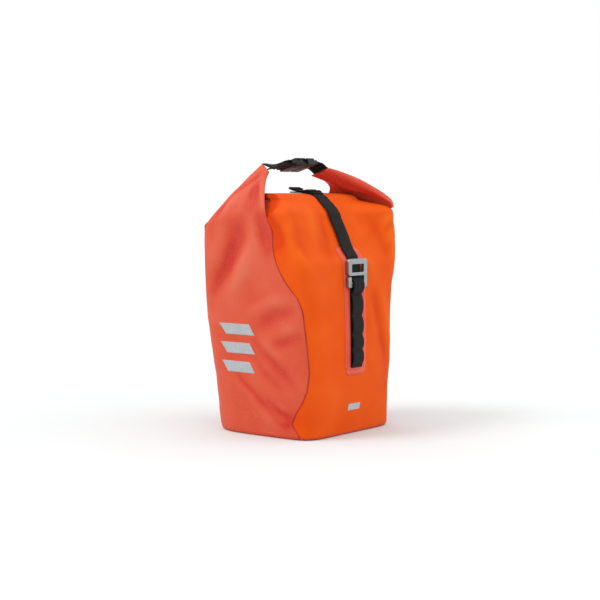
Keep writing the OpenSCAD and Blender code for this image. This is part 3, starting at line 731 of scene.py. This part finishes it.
def loft_object(name, outer, inner, fold=None):
    """A closed sleeve between an outer and an inner grid of the same shape, capped at both ends."""
    grid = closed_section(outer, inner)
    rows, cols = grid.shape[:2]
    across = lengths(outer)
    uv = np.concatenate([across, across[:, ::-1]], 1).reshape(-1, 2)
    faces = grid_faces(rows, cols, wrap=True)
    faces += [tuple(reversed(range(cols))), tuple(range((rows - 1) * cols, rows * cols))]
    shade = None
    if fold is not None:
        # the inner side gets 0.42: a little painted shade all over it
        shade = np.concatenate([shade_of(fold), 0.42 + 0 * fold], 1).ravel()
    return new_object(name, grid.reshape(-1, 3), faces, uv, shade)


def facing(obj):
    """Turns every face of a closed mesh outwards."""
    bm = bmesh.new()
    bm.from_mesh(obj.data)
    bmesh.ops.remove_doubles(bm, verts=bm.verts, dist=2e-6)
    bmesh.ops.recalc_face_normals(bm, faces=bm.faces)
    bm.to_mesh(obj.data)
    bm.free()
    return obj


def grid_normals(grid):
    n = np.cross(np.gradient(grid, axis=1), np.gradient(grid, axis=0))
    return n / np.maximum(np.linalg.norm(n, axis=-1, keepdims=True), 1e-9)


def mix(a, b, f):
    return np.asarray(a, float) * (1 - f) + np.asarray(b, float) * f


EAR_FOLDS = [
    (-3.0, 4.0, [(-77, 2, 363), (-80, 12, 356), (-87, 32, 342), (-92, 50, 330)]),
    (1.6, 5.0, [(-79, 4, 356), (-86, 14, 343), (-92, 20, 328)]),
    (-3.6, 9.0, [(-86, 12, 350), (-93, 6, 332), (-99, 4, 316), (-104, 6, 300)]),
    (2.4, 6.0, [(-84, -2, 348), (-91, -8, 330), (-97, -14, 312), (-99, -17, 303)]),
    (-1.8, 4.5, [(-88, 4, 338), (-95, -4, 318), (-100, -8, 304)]),
    (1.8, 9.0, [(-92, 30, 330), (-98, 44, 314), (-103, 52, 298)]),
    (-1.6, 7.0, [(-96, 50, 322), (-100, 62, 308), (-105, 66, 292)]),
]


def eased(rows, join, span, times):
    """Smooths rows of points along their first axis on both sides of a join."""
    rows = rows.copy()
    a, b = join - span, join + span
    fade = (1 - np.abs(np.linspace(-1, 1, b - a)) ** 2).reshape(-1, *([1] * (rows.ndim - 1)))
    for _ in range(times):
        mean = 0.25 * rows[a - 1:b - 1] + 0.5 * rows[a:b] + 0.25 * rows[a + 1:b + 1]
        rows[a:b] += fade * (mean - rows[a:b])
    return rows


def left_side(material):
    """The left side and its ear as one sleeve of cloth, from the base to the loop's webbing."""
    cols = 96
    s = np.linspace(HEM, 1, 134)
    seam = table(BASE_R + np.clip(s, 0, 1) * (SHOULDER_Z - BASE_R), SEAM)
    u = np.linspace(0, 1, cols)
    t = -(seam[:, None] + (BACK_SEAM - seam[:, None]) * u[None, :])
    wall_out, fold = surface(t, np.repeat(s[:, None], cols, 1))
    wall_in = wall_out - outward(t, np.repeat(s[:, None], cols, 1)) * CLOTH
    v = np.linspace(0, 1, 64)[1:, None, None]
    base = wall_out[-1][None]
    tip_front, tip_back = np.array((-81.0, -6, 361.0)), np.array((-65.0, 15, 372.0))
    ease = u * u * (3 - 2 * u)
    tip = mix(tip_front, tip_back, (0.35 * u + 0.65 * ease)[:, None])[None]
    rise = mix(np.array((-1.0, 0, 16.0)), np.array((0.0, -4, 8.0)), u[:, None])[None]
    near = mix(np.array((-7.0, 0, -20.0)), np.array((-16.0, 30, -30.0)), u[:, None])[None]
    ear = bezier([base, base + rise, tip + near, tip], v)
    n = grid_normals(ear)
    n *= np.sign((n[..., 0] * -1).mean())
    r = np.zeros(ear.shape[:2])
    for depth, width, line in EAR_FOLDS:
        d, along = distance_to(ear, line)
        r += depth * np.sin(np.pi * np.clip(0.12 + 0.8 * along, 0, 1)) ** 0.7 * np.exp(-(d / width) ** 2)
    r += 0.9 * smooth_noise(ear, 26.0, 9.0)
    r *= np.clip(v[..., 0] * 5, 0, 1) * np.clip((1 - v[..., 0]) * 6, 0, 1)
    edge = (4 * u * (1 - u)) ** 0.5
    ear = ear + n * r[..., None]
    ear[..., 0] -= 2.0 * (np.sin(np.pi * v[..., 0]) * edge)
    body = 1.2 + 5.0 * edge[None] * np.clip(v[..., 0] * 4, 0, 1)
    inner = ear - n * body[..., None]
    outer = eased(np.concatenate([wall_out, ear]), len(s), 14, 60)
    inside = np.concatenate([wall_in, inner])
    # painted shade and highlight from the side's folds and the ear's folds
    shade = eased(np.concatenate([fold, r]), len(s), 20, 80)
    obj = facing(loft_object("left_side", outer, inside, shade))
    return finish_piece(obj, material, "bag", "side_panel_left", ["side_panel_left", "ear_left"])


# the right ear's rolled band, from the loop to the front corner: (front edge, back edge)
BAND = [((43, -21, 367), (43, 13, 356.5)), ((52, -28, 363.8), (53, 6, 352.5)),
        ((61, -36, 359.6), (63, -2, 348)), ((69, -44, 355.2), (71, -9, 343)),
        ((77, -52, 350), (79, -16, 338.5)), ((85, -60, 343.8), (87, -30, 335)),
        ((93, -69, 336.5), (95, -45, 332.2)), ((101, -77, 328.5), (101, -62, 327.5)),
        ((107.5, -84, 320), (106.5, -78, 320)), ((108.5, -86, 311), (108, -82, 311))]


def along_rows(rows, steps):
    """Rows of points, made denser along their first axis with a smooth curve through them."""
    rows = np.array(rows, float)
    out = []
    for k in range(len(rows) - 1):
        p0, p1, p2, p3 = (rows[max(0, min(len(rows) - 1, k + j))] for j in (-1, 0, 1, 2))
        for f in np.linspace(0, 1, steps, endpoint=False):
            out.append(0.5 * (2 * p1 + (p2 - p0) * f + (2 * p0 - 5 * p1 + 4 * p2 - p3) * f * f
                              + (3 * p1 - p0 - 3 * p2 + p3) * f ** 3))
    out.append(rows[-1])
    return np.array(out)


def right_band(material):
    """The rolled end of the collar, a flattened sleeve from the loop down to the front corner."""
    edges = along_rows(BAND, 9)
    rows = len(edges)
    cols = 26
    u = np.linspace(0, 1, cols)
    mid = edges[:, 0][:, None] * (1 - u)[None, :, None] + edges[:, 1][:, None] * u[None, :, None]
    n = grid_normals(mid)
    n *= -np.sign(n[..., 0].mean())
    f = np.linspace(0, 1, rows)
    full = np.interp(f, [0, 0.1, 0.35, 0.7, 0.88, 1], [2.6, 3.4, 4.6, 4.8, 3.6, 2.0])
    edge = (4 * u * (1 - u)) ** 0.5
    round_front = np.clip(1 - u / 0.35, 0, 1)
    lift = full[:, None] * edge[None]
    wave = 0.8 * smooth_noise(mid, 22.0, 4.0)
    top = mid + n * (lift * (1.0 + 0.25 * np.sin(u * 7 + 0.8)[None] ) + wave * edge[None])[..., None]
    low = mid - n * (lift * 0.8 + wave * edge[None])[..., None]
    # painted light and shade across the band: a paler painted highlight on its upper front edge, saturated
    # red painted shade on its lower back edge
    obj = facing(loft_object("right_band", top, low, -0.6 + 3.0 * (0.5 - u)[None] + 0 * lift))
    obj.data.materials.append(material)
    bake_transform(obj)
    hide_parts("ear_right")
    return obj


def right_side(material):
    """The right side and the gusset above it, up to the rolled band."""
    cols = 96
    s = np.linspace(HEM, 1, 134)
    seam = table(BASE_R + np.clip(s, 0, 1) * (SHOULDER_Z - BASE_R), SEAM)
    u = np.linspace(0, 1, cols)
    t = seam[:, None] + (BACK_SEAM - seam[:, None]) * u[None, :]
    s_all = np.repeat(s[:, None], cols, 1)
    wall_out, fold = surface(t, s_all)
    wall_in = wall_out - outward(t, s_all) * CLOTH
    band = along_rows(BAND, 12)[:, 1]
    reach = np.linspace(0, 1, len(band))
    top = np.stack([np.interp(u ** 0.8, reach, band[::-1, k]) for k in range(3)], -1)
    top[:, 0] += 1.5
    v = np.linspace(0, 1, 54)[1:, None, None]
    base = wall_out[-1][None]
    c1 = base + mix(np.array((0.0, -2, 6)), np.array((3.0, -52, 24)), u[:, None])[None]
    c2 = top[None] + mix(np.array((1.5, -1, -4)), np.array((47.0, -31, -11)), (u ** 2)[:, None])[None]
    ear = bezier([base, c1, c2, top[None]], v)
    n = grid_normals(ear)
    n *= np.sign(n[..., 0].mean())
    r = 1.2 * smooth_noise(ear, 22.0, 14.0) * np.clip(v[..., 0] * 4, 0, 1)
    r = r * np.clip((1 - v[..., 0]) * 4, 0, 1)
    ear = ear + n * r[..., None]
    outer = eased(np.concatenate([wall_out, ear]), len(s), 12, 40)
    inside = np.concatenate([wall_in, ear - n * CLOTH])
    join = slice(len(s) - 12, len(s) + 12)
    normals = grid_normals(outer)
    inside[join] = outer[join] - normals[join] * CLOTH * np.sign(normals[..., 0].mean())
    # painted fold shade and highlight, doubled on the gusset's slack
    shade = eased(np.concatenate([fold, r * 2]), len(s), 16, 60)
    obj = facing(loft_object("right_side", outer, inside, shade))
    obj.data.materials.append(material)
    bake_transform(obj)
    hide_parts("side_panel_right")
    return obj


LOOP_TURN = math.radians(-18)


def loop_point(x, y, z):
    """A point of the carry loop's own frame, in mm."""
    c, s = math.cos(LOOP_TURN), math.sin(LOOP_TURN)
    return (x, 3 + y * c - z * s, 371 + y * s + z * c)


def loop_webbing(material):
    """The two short lengths of webbing between the ears and the buckle, each doubled round its bar."""
    y_axis = np.array(loop_point(0, 1, 0)) - np.array(loop_point(0, 0, 0))
    left = [(-63, 6, 368.2), (-60, 5.5, 368.9), (-56, 4.5, 369.8)] + [
        loop_point(x, 0, z) for x, z in ((-50, 0.0), (-42, 1.2), (-35, 2.4), (-31.2, 2.3), (-29.4, 0.9),
                                         (-29.6, -1.3), (-32, -2.2), (-38, -1.2), (-46, -1.6), (-56, -3.2))]
    twist = np.array([(0.60, 0.70, 0.39), (0.45, 0.85, 0.28), (0.22, 0.97, 0.0)] + [y_axis] * 10)
    obj = ribbon("loop_webbing_left", left, twist, 25.5, 1.7)
    finish_piece(obj, material, "bag", "webbing_left", ["webbing_left"])
    right = [loop_point(x, 0, z) for x, z in ((21.5, -2.2), (19.8, -1.6), (19.4, 0.6), (21.5, 2.3), (26, 1.8),
                                              (33, 0.4), (40, -1.6))] + [(47, -3.5, 362.5), (53, -8, 360)]
    axis = np.array([y_axis] * 7 + [(-0.02, 0.95, -0.31), (-0.02, 0.95, -0.31)])
    obj = ribbon("loop_webbing_right", right, axis, 25.5, 1.7)
    finish_piece(obj, material, "tongue", "webbing_right", ["webbing_right"])


def seam_line(material):
    """The piped and stitched seam between the front and each side."""
    s = np.linspace(-0.4, 1.02, 240)
    seam = table(BASE_R + np.clip(s, 0, 1) * (SHOULDER_Z - BASE_R), SEAM)
    ring = [(-0.62, 0.05), (-0.45, 0.45), (0, 0.62), (0.45, 0.45), (0.62, 0.05), (0, -0.5)]
    for side, name, node in ((-1, "seam_left", "side_panel_left"), (1, "seam_right", "side_panel_right")):
        grid = np.stack([surface(side * (seam + a * 0.55), s, b)[0] for a, b in ring], 1)
        faces = grid_faces(len(s), len(ring), wrap=True)
        travel = np.concatenate([[0], np.cumsum(np.linalg.norm(np.diff(grid[:, 2], axis=0), axis=1))]) * MM
        uv = np.stack([np.repeat(np.arange(6)[None] * 0.0005, len(s), 0),
                       np.repeat(travel[:, None], 6, 1)], -1)
        faces += [tuple(reversed(range(6))), tuple(range((len(s) - 1) * 6, len(s) * 6))]
        obj = facing(new_object(name, grid.reshape(-1, 3), faces, uv.reshape(-1, 2)))
        finish_piece(obj, material, "bag", node)


def shoulder(side, material):
    """The cloth under an ear, from the top of the side in to the roll."""
    s = np.linspace(1.0, 2.0, 30)
    t = side * np.linspace(77, 141, 60)
    t, s = np.meshgrid(t, s)
    grid = surface(t, s, -2.6)[0]
    name = "shoulder_left" if side < 0 else "shoulder_right"
    obj = thicken(grid_object(name, grid if side > 0 else grid[:, ::-1]), 1.0)
    finish_piece(obj, material, "bag", "side_panel_left" if side < 0 else "side_panel_right")


def roll_core(material):
    """The collar's turns inside the roll: a flattened spiral, open to see at both ends."""
    turns, gap_mm, mid_y, mid_z = 2.3, 2.0, -11.0, 323.8
    spine = []
    for k in np.linspace(0, 1, 150):
        a = 2 * math.pi * turns * k
        half_h = 3.9 - gap_mm * turns * k * 0.7
        half_y = 20.5 - gap_mm * turns * k
        c, q = math.cos(a), math.sin(a)
        spine.append((mid_y + half_y * math.copysign(abs(c) ** 0.6, c),
                      mid_z + max(half_h, 0.4) * math.copysign(abs(q) ** 0.8, q)))
    spine = np.array(spine)
    run = np.gradient(spine, axis=0)
    run /= np.maximum(np.linalg.norm(run, axis=1), 1e-6)[:, None]
    side = np.stack([-run[:, 1], run[:, 0]], 1)
    ring = np.concatenate([spine + side * 0.5, (spine - side * 0.5)[::-1]])
    xs = np.linspace(-84, 84, 40)
    verts = [(x, y, z) for x in xs for y, z in ring]
    uv = [(x * MM, k * 0.9 * MM) for x in xs for k in range(len(ring))]
    n = len(ring)
    faces = grid_faces(len(xs), n, wrap=True)
    half = n // 2
    for start, flip in ((0, True), ((len(xs) - 1) * n, False)):
        for k in range(half - 1):
            quad = (start + k, start + k + 1, start + n - 2 - k, start + n - 1 - k)
            faces.append(quad if flip else quad[::-1])
    obj = facing(new_object("roll_core", verts, faces, uv))
    finish_piece(obj, material, "bag", "roll_closure")


def level(z):
    return (z - BASE_R) / (SHOULDER_Z - BASE_R)


def film(name, outline, out, thick, material, node, body="bag"):
    """A thin film on the cloth. outline(v) gives its left and right edge, in degrees, and the height."""
    v = np.linspace(0, 1, 40)
    edges = np.array([outline(k) for k in v])
    u = np.linspace(0, 1, 26)
    t = edges[:, 0][:, None] * (1 - u) + edges[:, 1][:, None] * u
    s = np.repeat(level(edges[:, 2])[:, None], len(u), 1)
    low, fold = surface(t, s, out)
    n = outward(t, s)
    rim = np.minimum(np.minimum(u, 1 - u)[None] * 14, np.minimum(v, 1 - v)[:, None] * 20)
    high = low + n * (thick * np.clip(rim, 0.25, 1) ** 0.5)[..., None]
    obj = facing(loft_object(name, high, low, fold))
    return finish_piece(obj, material, body, node, [node])


PATCH_LOW, PATCH_TOP, PATCH_HALF, PATCH_FLARE, PATCH_CORNER = 82.0, 258.0, 12.6, 2.0, 5.0
WELD_FROM, WELD_TOP = 84.0, 250.0


def patch_outline(k):
    """The patch's left and right edge in degrees, and the height, for k from 0 to 1."""
    z = PATCH_LOW + (PATCH_TOP - PATCH_LOW) * k
    d = min(z - PATCH_LOW, PATCH_TOP - z, PATCH_CORNER)
    half = PATCH_HALF + PATCH_FLARE * k
    inset = PATCH_CORNER - math.sqrt(max(0.0, PATCH_CORNER ** 2 - (PATCH_CORNER - d) ** 2))
    return -half + inset * 0.6, half + 1.2 - inset * 0.6, z


def weld_edge(z, inset):
    return PATCH_HALF + PATCH_FLARE * (z - WELD_FROM) / 174 - inset


def patch(material):
    """The welded patch under the hook, with its raised weld lines."""
    film("patch", patch_outline, 0.15, 0.9, material, "strap_patch")
    for k, (rise, inset) in enumerate(((4, 1.6), (8, 3.2), (12, 4.8))):
        foot = WELD_FROM + rise
        left = [(-weld_edge(z, inset), z) for z in np.linspace(WELD_TOP, foot + 4, 60)]
        right = [(weld_edge(z, inset), z) for z in np.linspace(foot + 4, WELD_TOP, 60)]
        turn = []
        for a in np.linspace(0, 180, 24):
            if a <= 20 or a >= 160:
                x = (PATCH_HALF - inset) * (-1 if a <= 20 else 1)
            else:
                x = -(PATCH_HALF - inset - 2.2) * math.cos(math.radians(a))
            turn.append((x, foot + 4 - 4 * math.sin(math.radians(a)) ** 0.5))
        ring = np.array(left + turn + right if k == 0 else turn)
        path = surface(ring[:, 0], level(ring[:, 1]), 1.15)[0]
        tube("patch_weld_%d" % k, path, 0.42, material, "strap_patch")


def tube(name, path, radius, material, slot, body="bag", sides=8):
    """A round cord of thread or weld along a path."""
    path = np.array(path, float)
    run = np.gradient(path, axis=0)
    run /= np.maximum(np.linalg.norm(run, axis=1), 1e-9)[:, None]
    ref = np.array((0.31, 0.17, 0.93))
    a = np.cross(run, ref)
    a /= np.linalg.norm(a, axis=1)[:, None]
    b = np.cross(run, a)
    verts, uv = [], []
    travel = np.concatenate([[0], np.cumsum(np.linalg.norm(np.diff(path, axis=0), axis=1))])
    for k in range(len(path)):
        for j in range(sides):
            w = 2 * math.pi * j / sides
            verts.append(path[k] + radius * (a[k] * math.cos(w) + b[k] * math.sin(w)))
            uv.append((j * 0.0005, travel[k] * MM))
    faces = grid_faces(len(path), sides, wrap=True)
    faces += [tuple(reversed(range(sides))), tuple(range((len(path) - 1) * sides, len(path) * sides))]
    obj = facing(new_object(name, verts, faces, uv))
    return finish_piece(obj, material, body, slot)


def bartack(name, middle, across, along, material, slot, body="bag", width=20.0, height=2.6, rows=22):
    """A bar of zigzag stitches across a strap."""
    across, along = np.array(across, float), np.array(along, float)
    across /= np.linalg.norm(across)
    along /= np.linalg.norm(along)
    path = []
    for k in range(rows * 2 + 1):
        f = k / (rows * 2)
        path.append(np.array(middle) + across * width * (f - 0.5) + along * height * (0.5 if k % 2 else -0.5))
    fine = []
    for a, b in zip(path[:-1], path[1:]):
        fine += [a, mix(a, b, 0.5)]
    fine.append(path[-1])
    return tube(name, fine, 0.28, material, slot, body, sides=5)


TACKS = [194, 163, 137, 117, 96]


def chain_out(z):
    """How far the daisy chain's upper webbing stands off the patch at a height."""
    if z > 194:
        return 6.3 * math.sin(math.pi * min(1, (z - 194) / 22.0)) ** 0.55 if z < 216 else 0.0
    for top, low in zip(TACKS[:-1], TACKS[1:]):
        if low <= z <= top:
            return 3.4 * math.sin(math.pi * (z - low) / (top - low)) ** 0.8
    return 0.0


def daisy(material, thread):
    """The daisy chain: a flat webbing with a second one tacked on to it in loops."""
    flat = [surface(0.0, level(z), 1.75)[0] for z in np.linspace(217, 93, 50)]
    obj = ribbon("daisy_back", [tuple(np.ravel(q)) for q in flat], (1, 0, 0), 24.0, 1.1)
    finish_piece(obj, material, "bag", "daisy_chain", ["daisy_chain"])
    loops = [surface(0.0, level(z), 3.0 + chain_out(z))[0] for z in np.linspace(219, 92, 150)]
    obj = ribbon("daisy_loops", [tuple(np.ravel(q)) for q in loops], (1, 0, 0), 24.4, 1.5)
    finish_piece(obj, material, "bag", "daisy_chain")
    for k, z in enumerate(TACKS):
        middle = np.ravel(surface(0.0, level(z), 3.95)[0])
        bartack("daisy_tack_%d" % k, middle, (1, 0, 0), (0, 0, 1), thread, "daisy_chain",
                width=22, height=2.2)


def front_webbing(material, thread):
    """The strap over the roll and down to the hook, and its loose tail."""
    at = np.concatenate([np.linspace(level(219), 1, 44), np.linspace(1, 2, 26)[1:],
                         np.linspace(2, 2.93, 30)[1:]])
    line = []
    for s_at in at:
        z = BASE_R + min(s_at, 1) * (SHOULDER_Z - BASE_R)
        out = 2.0 + (1.2 if z > 243 else 0.2) if s_at < 1 else 3.2 - 1.9 * min(1, s_at - 1)
        line.append(np.ravel(surface(0.0, s_at, out)[0]))
    obj = ribbon("front_webbing", line, (1, 0, 0), 25.6, 1.7, sway=0.12)
    finish_piece(obj, material, "bag", "front_strap", ["front_strap"])
    # a second layer lies on the first over the roll and ends in the loose tail
    tail = [np.ravel(surface(0.0, s_at, 3.2)[0]) for s_at in np.linspace(2.28, 2.62, 14)]
    y, z = tail[-1][1], tail[-1][2]
    tail += [np.array((0, y + 6, z + 0.1)), np.array((0, y + 12, z + 0.5)), np.array((0, y + 18, z + 1.9)),
             np.array((0, y + 22, z + 3.4))]
    obj = ribbon("strap_tail_end", tail, (1, 0, 0), 24.6, 1.6, sway=0.1, seed=1.0)
    finish_piece(obj, material, "bag", "strap_tail", ["strap_tail"])
    end = tail[-2]
    hem = [end + np.array((0, -2, 1.3)), end + np.array((0, 1.5, 1.9)), tail[-1] + np.array((0, 0.2, 1.7)),
           tail[-1] + np.array((0, 1.3, 0.2))]
    obj = ribbon("strap_tail_hem", hem, (1, 0, 0), 24.6, 1.4)
    finish_piece(obj, material, "bag", "strap_tail")
    tuck = [np.ravel(surface(0.0, s_at, 4.6)[0]) for s_at in np.linspace(2.36, 2.56, 10)]
    obj = ribbon("strap_tack_layer", tuck, (1, 0, 0), 24.8, 1.4)
    finish_piece(obj, material, "bag", "strap_tail")
    for k, s_at in enumerate((2.40, 2.52)):
        bartack("strap_tack_%d" % k, np.ravel(surface(0.0, s_at, 5.8)[0]), (1, 0, 0),
                np.ravel(skin(0.0, s_at + 0.02) - skin(0.0, s_at)), thread, "strap_tail",
                width=21, height=2.0)


def release_pull(material, thread):
    """The release strap across the rack side, sewn to its two lugs."""
    low, high = (np.array(c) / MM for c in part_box("release_strap"))
    y, z = (low[1] + high[1]) / 2, (low[2] + high[2]) / 2
    path = [(x, y + 0.25 * math.cos(x * 0.12), z) for x in np.linspace(low[0], high[0], 15)]
    obj = ribbon("release_webbing", path, (0, 0, 1), high[2] - low[2], 1.7, sway=0.1)
    finish_piece(obj, material, "release", "release_strap", ["release_strap"])
    for k, x in enumerate((low[0] + 4, low[0] + 13, high[0] - 13, high[0] - 4)):
        bartack("release_tack_%d" % k, (x, high[1] + 0.15, z), (0, 0, 1), (1, 0, 0), thread, "release_strap",
                "release", width=14.0, height=2.0, rows=16)


def marks(material):
    """Plain slanted reflective bars on both sides and a short one on the front."""
    for side, name, node in ((-1, "bars_left", "side_mark_left"), (1, "bars_right", "side_mark_right")):
        for k, z0 in enumerate((86, 112, 138)):
            def outline(f, z0=z0):
                a, b = 88 + 5 * f, 114 + 5 * f
                return (a, b, z0 + 15 * f) if side > 0 else (-b, -a, z0 + 15 * f)
            film("%s_%d" % (name, k), outline, 0.08, 0.25, material, node)
    film("bar_front", lambda f: (-9 + 1.2 * f, 7 + 1.2 * f, 33 + 9 * f), 0.08, 0.25, material, "front_mark")


make_camera()
make_studio()
ORANGE = make_orange()
# second colour: painted shade of the fold valleys; third colour: painted highlight of the ridges and the pale
# tone of the cloth
CORAL = make_coral("coral_coated", (205, 72, 42), (190, 30, 12), (214, 100, 74), 0.42, 0.62)
BLACK = make_webbing()
PLASTIC = make_plastic("black_plastic", (24, 23, 24), 0.38, 0.6)
LINER = make_plastic("grey_liner", (70, 70, 72), 0.5, 0.7)
ALLOY = make_metal("anodised_alloy", (150, 156, 160), 0.32, 0.5)
STEEL = make_metal("zinc_steel", (190, 190, 192), 0.25, 0.45)
REFLECTIVE = make_reflective()
THREAD = make_plastic("seam_thread", (150, 34, 20), 0.5, 0.7)
STITCH = make_plastic("black_thread", (30, 29, 29), 0.5, 0.7)
# second colour: painted shade of the fold valleys; third colour: painted highlight of the ridges and the pale
# tone of the film
PATCH = make_coral("patch_film", (218, 80, 58), (204, 48, 30), (230, 108, 86), 0.35, 0.5, grid=2.2, coat=0.1)
FILM = make_coral("welded_film", (208, 58, 38), (190, 8, 4), (228, 112, 88), 0.3, 0.45, grid=2.2, coat=0.15)

front_skin(ORANGE)
back_skin(CORAL)
bottom_skin(CORAL)
left_side(CORAL)
right_side(CORAL)
right_band(FILM)
loop_webbing(BLACK)
seam_line(THREAD)
shoulder(-1, FILM)
shoulder(1, FILM)
roll_core(FILM)
patch(PATCH)
daisy(BLACK, STITCH)
front_webbing(BLACK, STITCH)
marks(REFLECTIVE)
release_pull(BLACK, STITCH)

HARD = {
    "buckle_socket": ("bag", PLASTIC), "buckle_tongue": ("tongue", PLASTIC),
    "buckle_arm_front": ("arm_front", PLASTIC), "buckle_arm_back": ("arm_back", PLASTIC),
    "g_hook": ("bag", ALLOY), "upper_rail": ("bag", PLASTIC), "hook_left": ("bag", PLASTIC),
    "hook_right": ("bag", PLASTIC), "tube_insert_left": ("bag", LINER), "tube_insert_right": ("bag", LINER),
    "lower_rail": ("bag", PLASTIC), "lower_slider": ("slider", PLASTIC), "lower_hook": ("hook_low", PLASTIC),
    "latch_left": ("latch_l", PLASTIC), "latch_right": ("latch_r", PLASTIC),
    "release_lugs": ("release", PLASTIC),
}
for node, (body, material) in HARD.items():
    polished(node, material, body, *((1.2, 4) if node == "g_hook" else ()))

for node, material in (("rail_screws", STEEL), ("rail_washers", STEEL), ("latch_pins", STEEL),
                       ("latch_springs", STEEL), ("lower_rail_screws", STEEL), ("pivot_screw", STEEL),
                       ("back_plate", PLASTIC), ("closure_strip", PLASTIC)):
    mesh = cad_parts[node].data
    mesh.materials.clear()
    mesh.materials.append(material)
